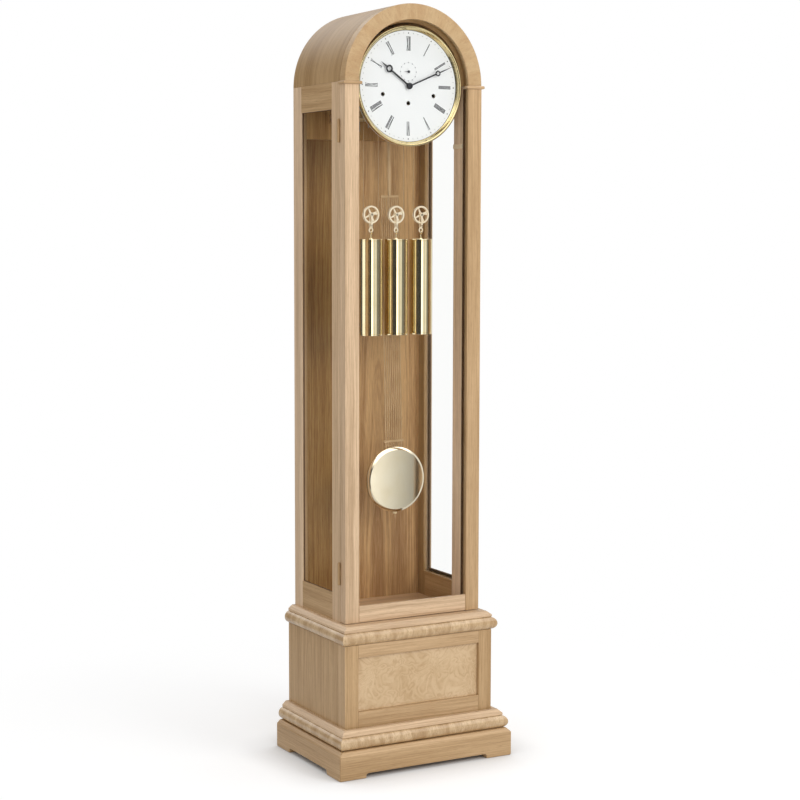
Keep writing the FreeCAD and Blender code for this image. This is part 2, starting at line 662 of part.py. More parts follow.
def hinges():
    """Butt hinges: a leaf on the case, a leaf on the door, and a headed pin."""
    axis_x = "-(trunk_width / 2 + knuckle_radius + door_gap / 4)"
    axis_depth = "(trunk_depth + door_gap / 2)"
    leaf_end = "-(trunk_width / 2 - leaf_width)"
    case_leaves = []
    door_leaves = []
    pins = []
    for hinge, centre in hinge_levels():
        low = "(%s - hinge_length / 2)" % centre
        high = "(%s + hinge_length / 2)" % centre
        third = "(hinge_length / 3)"
        for leaves, label, depth, knuckles in (
                (case_leaves, "case_leaf_" + hinge,
                 ("trunk_depth - leaf_thickness", "trunk_depth"),
                 [(low, "%s + %s" % (low, third)), ("%s - %s" % (high, third), high)]),
                (door_leaves, "door_leaf_" + hinge,
                 (DOOR_BACK, DOOR_BACK + " + leaf_thickness"),
                 [("%s + %s + running_gap" % (low, third),
                   "%s - %s - running_gap" % (high, third))])):
            inside = board(label + "_plate", ("-trunk_width / 2", leaf_end), depth, (low, high))
            parts = [inside]
            for index, span in enumerate(knuckles):
                tab = board("%s_tab_%d" % (label, index), (axis_x, "-trunk_width / 2"), depth, span)
                roll = upright("%s_knuckle_%d" % (label, index), "knuckle_radius", span,
                               axis_x, axis_depth)
                parts += [tab, roll]
            solid = fuse(label + "_solid", parts)
            bore = upright(label + "_bore", "pin_radius + running_gap",
                           (low + " - overrun", high + " + overrun"), axis_x, axis_depth)
            leaves.append(cut(label, solid, bore))
        stem = upright("pin_stem_" + hinge, "pin_radius", (low, high + " + pin_head / 2"),
                       axis_x, axis_depth)
        head = upright("pin_head_" + hinge, "pin_head", (high, high + " + pin_head"),
                       axis_x, axis_depth)
        pins.append(fuse("hinge_pin_" + hinge, [stem, head]))
    node("hinge_case_leaves", group("case_leaf_pair", case_leaves))
    node("hinge_door_leaves", group("door_leaf_pair", door_leaves))
    node("hinge_pins", group("hinge_pin_pair", pins))
    high = "(%s - catch_drop)" % SPRINGING
    node("door_catch", board("catch", ("%s - catch_width" % JAMB_FACE, JAMB_FACE),
                             ("trunk_depth - catch_depth", "trunk_depth"),
                             ("%s - catch_height" % high, high)))


def winding_places():
    """Name, x and level of the three winding arbors."""
    low = "(%s - side_winding_drop)" % ARBOR
    middle = "(%s - mid_winding_drop)" % ARBOR
    return [("left", "-side_winding_spread", low), ("centre", "0", middle),
            ("right", "side_winding_spread", low)]


def dial():
    """White dial plate with its holes, and the funnel-shaped bezel round it."""
    rim = "(dial_radius + bezel_width)"
    body = new_body("dial_plate")
    holes = [("0", "0", "hour_pipe + dial_hole_play"),
             ("0", "seconds_rise", "seconds_arbor + dial_hole_play")]
    for _, x, level in winding_places():
        holes.append((x, "%s - %s" % (level, ARBOR), "winding_hole_radius"))
    sketch = add_sketch(body, "XZ", circles=[("0", "0", rim)] + holes)
    pad(body, sketch, "dial_plate_thickness")
    node("dial_plate", place(body, depth="dial_depth - dial_plate_thickness", z=ARBOR))
    # radius, and distance behind the dial face: the bezel stands in front of it
    shoulder = "-(bezel_rise - bezel_nose)"
    outline = [("dial_radius", "0"), ("%s - 2 * bezel_nose" % rim, shoulder),
               (rim, shoulder, {"cy": shoulder, "turn": 1}), (rim, "0")]
    bezel = turned("dial_bezel", outline)
    node("dial_bezel", place(bezel, depth="dial_depth", z=ARBOR))


def movement():
    """Front and back plates, their pillars and dial feet, and the cock of the pendulum."""
    half = "movement_half_width"
    corners = [(x, z) for x in ("-(movement_half_width - pillar_inset)",
                                "(movement_half_width - pillar_inset)")
               for z in ("-(movement_below - pillar_inset)", "(movement_above - pillar_inset)")]
    holes = [(x, "%s - %s" % (level, ARBOR), "arbor_radius + running_gap")
             for _, x, level in winding_places()]
    holes.append(("0", "seconds_rise", "seconds_arbor + running_gap"))
    front_hole = [("0", "0", "centre_arbor + running_gap")]
    back_hole = [("0", "anchor_rise", "anchor_arbor + running_gap")]
    outline = rectangle(("-" + half, half), ("-movement_below", "movement_above"))
    pieces = []
    for label, depth, extra in (("front_plate", "front_plate_depth - movement_plate", front_hole),
                                ("back_plate", "back_plate_depth - movement_plate", back_hole)):
        body = new_body(label)
        pad(body, add_sketch(body, "XZ", [outline], holes + extra), "movement_plate")
        pieces.append(place(body, depth=depth, z=ARBOR))
    front_inner = "(front_plate_depth - movement_plate)"
    for index, (x, z) in enumerate(corners):
        level = "%s + %s" % (ARBOR, z)
        pieces.append(disc("pillar_%d" % index, "pillar_radius",
                           ("back_plate_depth", front_inner), x, level))
        pieces.append(disc("dial_foot_%d" % index, "dial_foot_radius",
                           ("front_plate_depth", "dial_depth - dial_plate_thickness"), x, level))
    for label, x, level in winding_places():
        pieces.append(cable_stay(label, x, level))
    pieces.append(pendulum_cock())
    node("movement_plates", group("movement_frame", pieces))


def cable_stay(label, x, level):
    """A pin on the back plate with a tab that holds the cable's fixed end."""
    pin_x = "(%s + %s + stay_reach)" % (x, CABLE_RING)
    rear = "(weight_depth - stay_thickness / 2)"
    pin = disc(label + "_stay_pin", "stay_post",
               ("back_plate_depth", "%s + stay_thickness" % rear), pin_x, level)
    tab = board(label + "_stay_tab", ("%s + %s - cable_radius" % (x, CABLE_RING), pin_x),
                (rear, "%s + stay_thickness" % rear), (level, "%s + stay_height" % level))
    return fuse(label + "_cable_stay", [pin, tab])


def pendulum_cock():
    """An arm on the back plate with two cheeks that carry the pendulum's pin."""
    inner = "(back_plate_depth - movement_plate)"
    gap = "(block_depth / 2 + cheek_play)"
    arm_low = "(%s + block_height)" % PIVOT
    rear = "(pendulum_depth - %s - cheek_thickness)" % gap
    half = "(cock_width / 2)"
    parts = [board("cock_arm", ("-" + half, half), (rear, inner),
                   (arm_low, arm_low + " + cock_height"))]
    for label, low in (("rear", rear), ("front", "(pendulum_depth + %s)" % gap)):
        parts.append(board("cock_cheek_" + label, ("-" + half, half),
                           (low, low + " + cheek_thickness"),
                           ("%s - block_height / 2" % PIVOT, arm_low)))
    solid = fuse("cock_solid", parts)
    bore = disc("cock_bore", "hanging_pin + running_gap",
                (rear + " - overrun", "(pendulum_depth + %s + cheek_thickness + overrun)" % gap),
                z=PIVOT)
    return cut("pendulum_cock", solid, bore)


def bracket():
    """Two rails that carry the movement from the sound board."""
    outer = "(movement_half_width - pillar_inset / 2)"
    rear = "(thin_board + sound_board_thickness)"
    low = "(%s - movement_below)" % ARBOR
    rails = mirrored_pair("bracket_rail", ("%s - bracket_board" % outer, outer),
                          (rear, "back_plate_depth - movement_plate"),
                          (low, low + " + bracket_height"))
    node("movement_bracket", group("bracket_pair", rails))


def hand(name, length, ring_at, ring, arbor_outer, arbor_inner, arbor_length, angle, rise):
    """A hand with an open ring near its tip, on an arbor that runs back into the movement."""
    body = new_body(name)
    root = "(hand_hub / 4)"
    tip = "(hand_thickness / 4)"
    blade = [("-" + root, "0"), (root, "0"), (tip, length), ("-" + tip, length)]
    pad(body, add_sketch(body, "XZ", [blade]), "hand_thickness")
    pad(body, add_sketch(body, "XZ", circles=[("0", ring_at, ring)]), "hand_thickness")
    hole = "%s * 2 / 3" % ring
    pocket_through(body, add_sketch(body, "XZ", circles=[("0", ring_at, hole)]))
    pad(body, add_sketch(body, "XZ", circles=[("0", "0", "hand_hub")]), "hand_thickness")
    pad(body, add_sketch(body, "XZ", circles=[("0", "0", arbor_outer)]), arbor_length,
        backwards=True)
    if arbor_inner:
        pocket_through(body, add_sketch(body, "XZ", circles=[("0", "0", arbor_inner)]))
    body.Placement.Rotation = FreeCAD.Rotation(Vector(0, 1, 0), 0)
    bind(body, Placement__Rotation__Angle=angle)
    node(name, place(body, depth="dial_depth + %s" % rise, z=ARBOR))


def hands():
    inside = "(dial_depth - front_plate_depth)"
    hand("minute_hand", "minute_length", "minute_ring_at", "minute_ring", "centre_arbor", None,
         "minute_hand_rise + %s + movement_plate" % inside, "minute_angle", "minute_hand_rise")
    hand("hour_hand", "hour_length", "hour_ring_at", "hour_ring", "hour_pipe",
         "centre_arbor + running_gap", "hour_hand_rise + %s - hand_thickness" % inside,
         "hour_angle", "hour_hand_rise")
    body = new_body("seconds_hand")
    half = "(hand_thickness / 2)"
    pad(body, add_sketch(body, "XZ", [rectangle(("-seconds_length", "0"), ("-" + half, half))]),
        "hand_thickness")
    pad(body, add_sketch(body, "XZ", circles=[("0", "0", "2 * seconds_arbor")]),
        "hand_thickness")
    node("seconds_hand", place(body, depth="dial_depth + seconds_rise_gap",
                               z="%s + seconds_rise" % ARBOR))


def escapement():
    """Escape wheel on the seconds arbor, and the anchor with its crutch and fork."""
    body = new_body("escape_wheel")
    inner = "(escape_radius - tooth_height)"
    pad(body, add_sketch(body, "XZ", circles=[("0", "0", inner)]), "escape_thickness",
        middle=True)
    tooth = [("-tooth_height / 4", "%s - tooth_height / 4" % inner),
             ("tooth_height / 4", "%s - tooth_height / 4" % inner),
             ("tooth_height / 8", "escape_radius"), ("0", "escape_radius")]
    teeth = pad(body, add_sketch(body, "XZ", [tooth]), "escape_thickness", middle=True)
    pattern = body.newObject("PartDesign::PolarPattern", "escape_teeth")
    pattern.Originals = [teeth]
    pattern.Axis = (teeth.Profile[0], ["N_Axis"])
    pattern.Angle = 360
    pattern.Occurrences = ESCAPE_TEETH
    body.Tip = pattern
    doc.recompute()
    front = "dial_depth + seconds_rise_gap - escape_depth"
    pad(body, add_sketch(body, "XZ", circles=[("0", "0", "seconds_arbor")]), front)
    pad(body, add_sketch(body, "XZ", circles=[("0", "0", "seconds_arbor")]),
        "escape_depth - back_plate_depth + movement_plate", backwards=True)
    node("escape_wheel", place(body, depth="escape_depth", z="%s + seconds_rise" % ARBOR))
    node("anchor_and_crutch", anchor())


def anchor():
    """Everything on the anchor's arbor, drawn upright and then set over with the pendulum."""
    inner = "((escape_radius + pallet_gap) * cos(45))"
    low = "-(anchor_rise - seconds_rise - %s)" % inner
    top = "anchor_arbor + pallet_thickness"
    web = "-anchor_arbor - pallet_thickness / 2"
    body = new_body("anchor_pallets")
    outline = [("-%s - pallet_thickness" % inner, low), ("-" + inner, low),
               ("-%s + pallet_thickness" % inner, web), ("%s - pallet_thickness" % inner, web),
               (inner, low), ("%s + pallet_thickness" % inner, low),
               ("%s + pallet_thickness" % inner, top), ("-%s - pallet_thickness" % inner, top)]
    pad(body, add_sketch(body, "XZ", [outline]), "escape_thickness", middle=True)
    pad(body, add_sketch(body, "XZ", circles=[("0", "0", "anchor_arbor")]),
        "escape_depth - crutch_depth", backwards=True)
    place(body, depth="escape_depth", z=PIVOT)
    plate = ("crutch_depth", "crutch_depth + fork_arm")
    foot = "(%s - crutch_drop)" % PIVOT
    inside = "(hanger_width / 2 + fork_gap)"
    outside = "(%s + fork_arm)" % inside
    tine = ("pendulum_depth - hanger_thickness", "crutch_depth + fork_arm")
    level = (foot, foot + " + 2 * fork_arm")
    crutch = [board("crutch_rod", ("-fork_arm", "fork_arm"), plate, (foot, PIVOT)),
              board("crutch_bar", ("-" + outside, outside), plate, level)]
    crutch += mirrored_pair("crutch_tine", (inside, outside), tine, level)
    return set_over(fuse("anchor_solid", [body] + crutch))


def set_over(piece):
    """Turn a piece about the pendulum's pin to where the pendulum stands at rest."""
    piece.Placement.Rotation = FreeCAD.Rotation(Vector(0, -1, 0), value("swing_at_rest"))
    return bind(piece, Placement__Rotation__Angle="swing_at_rest",
                Placement__Base__x="%s * sin(swing_at_rest)" % PIVOT,
                Placement__Base__z="%s * (1 - cos(swing_at_rest))" % PIVOT)


def pendulum():
    """Hanging block and hanger, lattice of rods between bars, bob and rating nut."""
    depth = "pendulum_depth"
    half_hanger = ("-hanger_width / 2", "hanger_width / 2")
    hanger_depth = (depth + " - hanger_thickness / 2", depth + " + hanger_thickness / 2")
    upper = "(%s - upper_bar_drop)" % PIVOT
    bob = "(%s + bob_rise)" % TRUNK_FOOT
    lower = "(%s + lower_bar_rise)" % bob
    inner = "(%s + inner_bar_rise)" % bob
    nut_high = "(%s - bob_radius)" % bob
    nut_low = "(%s - nut_height)" % nut_high
    half_block = ("-block_width / 2", "block_width / 2")
    parts = [board("hanging_block", half_block,
                   (depth + " - block_depth / 2", depth + " + block_depth / 2"),
                   ("%s - block_height / 2" % PIVOT, "%s + block_height / 2" % PIVOT)),
             disc("hanging_pin", "hanging_pin",
                  (depth + " - block_depth - cheek_thickness",
                   depth + " + block_depth + cheek_thickness / 2"), z=PIVOT),
             board("hanger", half_hanger, hanger_depth, (upper, "%s - block_height / 4" % PIVOT))]
    for label, level, width in (("upper", upper, "upper_bar_width"),
                                ("lower", lower, "lower_bar_width"),
                                ("inner", inner, "upper_bar_width")):
        parts.append(board("bar_" + label, ("-%s / 2" % width, "%s / 2" % width),
                           (depth + " - bar_depth / 2", depth + " + bar_depth / 2"),
                           (level + " - bar_height / 2", level + " + bar_height / 2")))
    for index in range(LATTICE_RODS):
        place_share = index - (LATTICE_RODS - 1) / 2
        foot = inner if place_share else "(%s - rod_end)" % nut_low
        parts.append(upright("lattice_rod_%d" % index, "rod_radius", (foot, upper),
                             "%s * rod_pitch" % place_share, depth))
    node("pendulum_rods", set_over(fuse("lattice", parts)))

    dish = turned("bob_dish", [
        ("0", "0"), ("bob_radius", "0"), ("bob_radius", "-bob_rim"),
        ("0", "-(bob_rim + bob_bulge)", {"cx": "0", "turn": -1})])
    place(dish, depth=depth + " + bar_depth / 2", z=bob)
    cover = disc("bob_cover", "bob_radius - bob_rim",
                 (depth + " - bar_depth / 2 - bob_back", depth + " - bar_depth / 2"), z=bob)
    node("pendulum_bob", set_over(group("bob_pair", [dish, cover])))

    nut = upright("nut_blank", "nut_radius", (nut_low, nut_high), depth=depth)
    bore = upright("nut_bore", "rod_radius + running_gap",
                   (nut_low + " - overrun", nut_high + " + overrun"), depth=depth)
    node("rating_nut", set_over(cut("nut", nut, bore)))


def weights():
    """Each weight with its hook, stirrup, pulley, cable and winding drum."""
    for label, x, level in winding_places():
        weight(label, x)
        stirrup(label, x)
        pulley(label, x)
        drum(label, x, level)
        cable(label, x, level)


def weight(label, x):
    depth = "weight_depth"
    top = "(%s - weight_drop)" % ARBOR
    ring_level = hook_level()
    body = new_body(label + "_weight_shell")
    outline = [("0", "0"), ("weight_radius - weight_edge", "0"), ("weight_radius", "weight_edge"),
               ("weight_radius", "weight_height - weight_edge"),
               ("weight_radius - weight_edge", "weight_height"), ("0", "weight_height")]
    revolve(body, add_sketch(body, "XZ", [outline]), "V_Axis")
    place(body, x, depth, top + " - weight_height")
    rod = upright(label + "_weight_rod", "hook_rod",
                  (top + " - weight_edge", ring_level + " - hook_ring"), x, depth)
    ring = doc.addObject("Part::Torus", label + "_weight_ring")
    bind(ring, Radius1="hook_ring", Radius2="hook_radius")
    ring.Placement.Rotation = FreeCAD.Rotation(Vector(0, 1, 0), 90)
    place(ring, x, depth, ring_level)
    node(label + "_weight", fuse(label + "_weight_solid", [body, rod, ring]))


def loop_foot():
    """Level of the lowest point of the stirrup's loop."""
    return "(%s - pulley_drop - bridge_drop - bridge_height / 2 - loop_height)" % ARBOR


def hook_level():
    """The hook's ring hangs on the loop's foot with the glass's play between them."""
    bar = "(loop_radius - loop_hole)"
    return "(%s + %s + glass_play - hook_ring + hook_radius)" % (loop_foot(), bar)


def stirrup(label, x):
    """Two arms beside the pulley, a bridge below it, an axle, and a loop for the hook."""
    axle = "(%s - pulley_drop)" % ARBOR
    arm_inner = "(pulley_thickness / 2 + stirrup_gap)"
    arm_outer = "(%s + stirrup_plate)" % arm_inner
    bridge = "(%s - bridge_drop)" % axle
    half = "(stirrup_arm / 2)"
    span = ("%s - %s" % (x, half), "%s + %s" % (x, half))
    parts = [board(label + "_bridge", span,
                   ("weight_depth - %s" % arm_outer, "weight_depth + %s" % arm_outer),
                   (bridge + " - bridge_height", bridge)),
             disc(label + "_axle", "axle_radius",
                  ("weight_depth - %s" % arm_outer, "weight_depth + %s" % arm_outer), x, axle)]
    for side, low in (("rear", "(weight_depth - %s)" % arm_outer),
                      ("front", "(weight_depth + %s)" % arm_inner)):
        parts.append(board("%s_arm_%s" % (label, side), span, (low, low + " + stirrup_plate"),
                           (bridge + " - bridge_height", axle)))
        parts.append(disc("%s_eye_%s" % (label, side), "hub_radius",
                          (low, low + " + stirrup_plate"), x, axle))
    body = new_body(label + "_loop")
    foot_centre = "(%s + loop_radius)" % loop_foot()
    top = bridge + " - bridge_height / 2"
    drop = [("-" + half, top), ("-loop_radius", foot_centre),
            ("loop_radius", foot_centre, {"cy": foot_centre, "turn": 1}), (half, top)]
    hole_top = "(%s + loop_height - bridge_height - loop_radius + loop_hole)" % loop_foot()
    hole = [("0", hole_top), ("-loop_hole", foot_centre),
            ("loop_hole", foot_centre, {"cy": foot_centre, "turn": 1})]
    pad(body, add_sketch(body, "XZ", [drop, hole]), "loop_thickness", middle=True)
    place(body, x, "weight_depth")
    node(label + "_stirrup", fuse(label + "_stirrup_solid", parts + [body]))


def pulley(label, x):
    """A grooved rim on four spokes and a bored hub."""
    axle = "(%s - pulley_drop)" % ARBOR
    half = "(pulley_thickness / 2)"
    inner = "(pulley_radius - pulley_rim)"
    rim = turned(label + "_rim", [
        (inner, "-" + half), ("pulley_radius", "-" + half), ("pulley_radius - groove_depth", "0"),
        ("pulley_radius", half), (inner, half)])
    place(rim, x, "weight_depth", axle)
    span = ("weight_depth - %s" % half, "weight_depth + %s" % half)
    parts = [rim, disc(label + "_hub", "hub_radius", span, x, axle)]
    for index in range(SPOKES):
        spoke = doc.addObject("Part::Box", "%s_spoke_%d" % (label, index))
        bind(spoke, Length="pulley_radius - groove_depth - axle_radius", Width="spoke_thickness",
             Height="spoke_width")
        turn = "%s * 360 / %s - spoke_angle" % (index, SPOKES)
        angle = math.radians(value(turn))
        spoke.Placement.Rotation = FreeCAD.Rotation(Vector(0, 1, 0), value(turn))
        bind(spoke, Placement__Rotation__Angle=turn)
        shift = "(axle_radius / 2)"
        place(spoke,
              "%s + %s * cos(%s) - spoke_width / 2 * sin(%s)" % (x, shift, turn, turn),
              "weight_depth + spoke_thickness / 2",
              "%s - %s * sin(%s) - spoke_width / 2 * cos(%s)" % (axle, shift, turn, turn))
        parts.append(spoke)
    solid = fuse(label + "_pulley_solid", parts)
    bore = disc(label + "_pulley_bore", "axle_radius + running_gap",
                (span[0] + " - overrun", span[1] + " + overrun"), x, axle)
    node(label + "_pulley", cut(label + "_pulley_bored", solid, bore))


def drum(label, x, level):
    """A winding drum: arbor, barrel between flanges, and the great wheel in front of it."""
    barrel = "(%s - cable_radius - running_gap)" % CABLE_RING
    flange = "(%s + flange_rise)" % CABLE_RING
    rear = "(weight_depth - drum_width / 2)"
    front = "(weight_depth + drum_width / 2)"
    end = "(back_plate_depth - movement_plate)"
    wheel = "great_wheel_depth"
    tip = "(dial_depth - dial_plate_thickness / 2)"
    levels = [("0", end), ("arbor_radius", end), ("arbor_radius", rear), (flange, rear),
              (flange, rear + " + drum_flange"), (barrel, rear + " + drum_flange"),
              (barrel, front + " - drum_flange"), (flange, front + " - drum_flange"),
              (flange, front), ("arbor_radius", front),
              ("arbor_radius", wheel + " - great_wheel_thickness"),
              ("great_wheel_radius", wheel + " - great_wheel_thickness"),
              ("great_wheel_radius", wheel), ("arbor_radius", wheel),
              ("arbor_radius", tip), ("0", tip)]
    outline = [(radius, "-(%s)" % where) for radius, where in levels]
    body = turned(label + "_drum_turned", outline)
    node(label + "_drum", place(body, x, z=level))


def cable(label, x, level):
    """One steel cable down from the drum, round under the pulley and up to its stay."""
    axle = "(%s - pulley_drop)" % ARBOR
    runs = []
    for side in ("-", "+"):
        runs.append(upright("%s_cable_run_%d" % (label, len(runs)), "cable_radius",
                            (axle, level), "%s %s %s" % (x, side, CABLE_RING), "weight_depth"))
    bend = doc.addObject("Part::Torus", label + "_cable_bend")
    bind(bend, Radius1=CABLE_RING, Radius2="cable_radius")
    bend.Angle3 = 180
    bend.Placement.Rotation = FreeCAD.Rotation(Vector(1, 0, 0), -90)
    place(bend, x, "weight_depth", axle)
    node(label + "_cable", fuse(label + "_cable_solid", runs + [bend]))


def chime():
    """Tone rods hanging from a block on the sound board, and the row of hammers."""
    block_low = "(%s + chime_block_rise)" % ARBOR
    board_face = "(thin_board + sound_board_thickness)"
    half = "(chime_block_width / 2)"
    lug_end = "(hammer_depth + hammer_arbor + running_gap + lug_width)"
    arbor_level = "(%s - hammer_drop)" % block_low
    parts = [board("block_bar", ("-" + half, half),
                   (board_face, board_face + " + chime_block_depth"),
                   (block_low, block_low + " + chime_block_height"))]
    for side in ("", "-"):
        inner = "%s(chime_block_width / 2 - lug_width)" % side
        outer = side + half
        span = (inner, outer) if not side else (outer, inner)
        parts.append(board("block_lug" + ("_left" if side else "_right"), span,
                           (board_face + " + chime_block_depth / 2", lug_end),
                           (arbor_level + " - lug_width", block_low + " + lug_width")))
    solid = fuse("block_solid", parts)
    bore = crossbar("block_bore", "hammer_arbor + running_gap",
                    ("-%s - overrun" % half, half + " + overrun"), "hammer_depth", arbor_level)
    node("chime_block", cut("chime_block_bored", solid, bore))

    rods = []
    arms = [crossbar("hammer_shaft", "hammer_arbor", ("-" + half, half), "hammer_depth",
                     arbor_level)]
    for index in range(CHIME_RODS):
        x = "%s * chime_rod_pitch" % (index - (CHIME_RODS - 1) / 2)
        foot = "%s - chime_rod_length + %s * chime_rod_step" % (block_low, index)
        rods.append(upright("chime_rod_%d" % index, "chime_rod_radius",
                            (foot, block_low), x, "chime_rod_depth"))
        low = arbor_level + " - hammer_arm"
        arms.append(upright("hammer_arm_%d" % index, "hammer_arbor / 2", (low, arbor_level),
                            x, "hammer_depth"))
        tip = "chime_rod_depth + chime_rod_radius + hammer_gap"
        arms.append(disc("hammer_head_%d" % index, "hammer_head",
                         (tip, "hammer_depth + hammer_arbor"), x, low))
    node("chime_rods", group("chime_rod_set", rods))
    node("chime_hammers", fuse("hammers", arms))


def build():
    plinth()
    deck(("base_deck", "lower_torus_moulding", "lower_step_moulding"), "(base_width / 2)",
         "base_depth", "lower_front_reach", DECK_LOW, "lower_step_height",
         "(base_depth + lower_front_reach)")
    base_box()
    deck(("trunk_deck", "upper_torus_moulding", "upper_step_moulding"), "(trunk_width / 2)",
         DOOR_FACE, "upper_front_reach", DECK_HIGH, "upper_step_height", "trunk_depth")
    trunk_sides()
    trunk_shell()
    door()
    hinges()
    dial()
    movement()
    bracket()
    hands()
    escapement()
    pendulum()
    weights()
    chime()
    doc.recompute()


def check():
    """Every object computed, every sub-part a valid shape of solids."""
    for item in doc.Objects:
        if "Invalid" in item.State or "Error" in item.State:
            raise RuntimeError("%s did not compute: %s" % (item.Label, item.State))
    for name, thing in nodes.items():
        shape = thing.Shape
        if shape.isNull() or not shape.isValid() or not shape.Solids:
            raise RuntimeError("the shape of %s is not sound" % name)


def write():
    os.makedirs("parts", exist_ok=True)
    for name, thing in nodes.items():
        thing.Shape.exportStep(os.path.join("parts", name + ".step"))
    print("%d nodes written" % len(nodes))


build()
check()
write()
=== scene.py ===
"""Looks of a longcase clock in light oak, with a round-arched glazed door.

Lengths are metres. +Z is up and the door faces -Y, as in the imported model.
"""

import json
import math
import random
import zlib

import bmesh
import bpy
from mathutils import Matrix, Vector

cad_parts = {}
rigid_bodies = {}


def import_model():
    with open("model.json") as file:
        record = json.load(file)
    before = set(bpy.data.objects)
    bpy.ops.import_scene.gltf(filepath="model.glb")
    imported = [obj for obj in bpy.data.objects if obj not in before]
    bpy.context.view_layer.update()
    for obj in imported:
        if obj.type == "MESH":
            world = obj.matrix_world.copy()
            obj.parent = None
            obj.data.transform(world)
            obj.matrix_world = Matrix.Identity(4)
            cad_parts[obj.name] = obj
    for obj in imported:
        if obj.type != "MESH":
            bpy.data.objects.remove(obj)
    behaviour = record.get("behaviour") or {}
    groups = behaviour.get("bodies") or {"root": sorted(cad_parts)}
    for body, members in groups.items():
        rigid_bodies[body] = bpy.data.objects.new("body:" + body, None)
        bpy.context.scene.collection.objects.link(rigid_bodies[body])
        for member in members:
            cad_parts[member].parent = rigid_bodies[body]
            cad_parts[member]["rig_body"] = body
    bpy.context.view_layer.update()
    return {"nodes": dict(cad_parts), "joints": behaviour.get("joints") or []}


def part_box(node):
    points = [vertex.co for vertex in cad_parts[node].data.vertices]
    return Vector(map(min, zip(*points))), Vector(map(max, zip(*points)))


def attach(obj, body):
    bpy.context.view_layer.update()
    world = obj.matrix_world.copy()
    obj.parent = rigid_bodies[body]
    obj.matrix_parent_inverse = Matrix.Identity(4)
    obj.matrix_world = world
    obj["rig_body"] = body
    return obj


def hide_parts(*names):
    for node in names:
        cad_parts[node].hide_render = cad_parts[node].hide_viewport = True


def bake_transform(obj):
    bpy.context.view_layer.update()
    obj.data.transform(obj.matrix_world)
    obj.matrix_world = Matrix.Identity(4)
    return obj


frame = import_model()
NODES = frame["nodes"]
JOINTS = {joint["name"]: joint for joint in frame["joints"]}
SIDES = ("left", "centre", "right")

# Eased edges, and how finely round forms are divided
EDGE = 0.0009
SOFT_EDGE = 0.0022
FINE_EDGE = 0.0004
MERGE = 0.00001
FLAT_ANGLE = math.radians(1)
SHARP_ANGLE = math.radians(32)
SMOOTH_ANGLE = math.radians(28)
CORNER_STEPS = 3
CORNER_SHARE = 0.49
ARC_STEPS = 120
TURNED_STEPS = 96
SMALL_STEPS = 40


def middle_of(node):
    low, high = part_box(node)
    return (low + high) / 2


def half_of(node):
    """Half of the node's width, depth and height."""
    low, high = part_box(node)
    return (high - low) / 2


# Places read from the imported model, and a few given as numbers
ARCH_LOW, ARCH_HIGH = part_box("door_arch_head")
SPRINGING = ARCH_LOW.z
ARCH_RADIUS = ARCH_HIGH.x
DOOR_FACE = ARCH_LOW.y
DOOR_BACK = ARCH_HIGH.y
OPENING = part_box("door_bottom_rail")[1].x
JAMB_INNER = 0.164
STILE_INNER = 0.182
BACK_MIDDLE = middle_of("back_panel").y
JAMB_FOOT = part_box("case_floor_board")[1].z
CAPITAL_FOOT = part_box("door_capital_beads")[0].z
GLASS_LAP = 0.0077
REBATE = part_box("door_glass")[1].x
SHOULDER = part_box("door_glass")[0].y
DIAL_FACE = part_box("dial_plate")[0].y
DIAL_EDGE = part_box("dial_plate")[1].x
DIAL_LEVEL = middle_of("dial_plate").z
SECONDS_RISE = middle_of("seconds_hand").z - DIAL_LEVEL
PIVOT = Vector(JOINTS["pendulum_swing"]["pos_m"])
SWING = math.radians(JOINTS["pendulum_swing"]["range_deg"][0])

X = Vector((1, 0, 0))
Y = Vector((0, 1, 0))
Z = Vector((0, 0, 1))
WHITE = (1, 1, 1, 1)


def linear(colour):
    """A colour given as 0 to 255, as the shaders take it."""
    shares = [level / 255 for level in colour]
    return (*(share / 12.92 if share <= 0.04045 else ((share + 0.055) / 1.055) ** 2.4
              for share in shares), 1.0)


# Materials

NOISE_LOW = 0.3
NOISE_HIGH = 0.7


class Nodes:
    """The nodes of a tree, each made with its sources and settings."""

    def __init__(self, tree):
        self.nodes = tree.nodes
        self.links = tree.links

    def add(self, kind, sources, **settings):
        node = self.nodes.new("ShaderNode" + kind)
        for name, level in settings.items():
            setattr(node, name, level)
        for key, source in sources.items():
            if isinstance(source, bpy.types.NodeSocket):
                self.links.new(source, node.inputs[key])
            else:
                node.inputs[key].default_value = source
        return node

    def maths(self, operation, first, second=0.0, third=0.0):
        return self.add("Math", {0: first, 1: second, 2: third}, operation=operation).outputs[0]

    def times(self, first, second):
        return self.maths("MULTIPLY", first, second)

    def plus(self, first, second):
        return self.maths("ADD", first, second)

    def fade(self, share, first, second):
        """The first shader where the share is 0, the second where it is 1."""
        return self.add("MixShader", {0: share, 1: first, 2: second}).outputs[0]

    def by_sight(self, lit, mirrored, seen):
        """One shader for light on matt surfaces, one for mirrors, one for the eye and glass."""
        path = self.add("LightPath", {}).outputs
        lighting = self.maths("GREATER_THAN", path["Diffuse Depth"], 0.5)
        mirroring = self.maths("GREATER_THAN", path["Glossy Depth"], 0.5)
        return self.fade(lighting, self.fade(mirroring, seen, mirrored), lit)


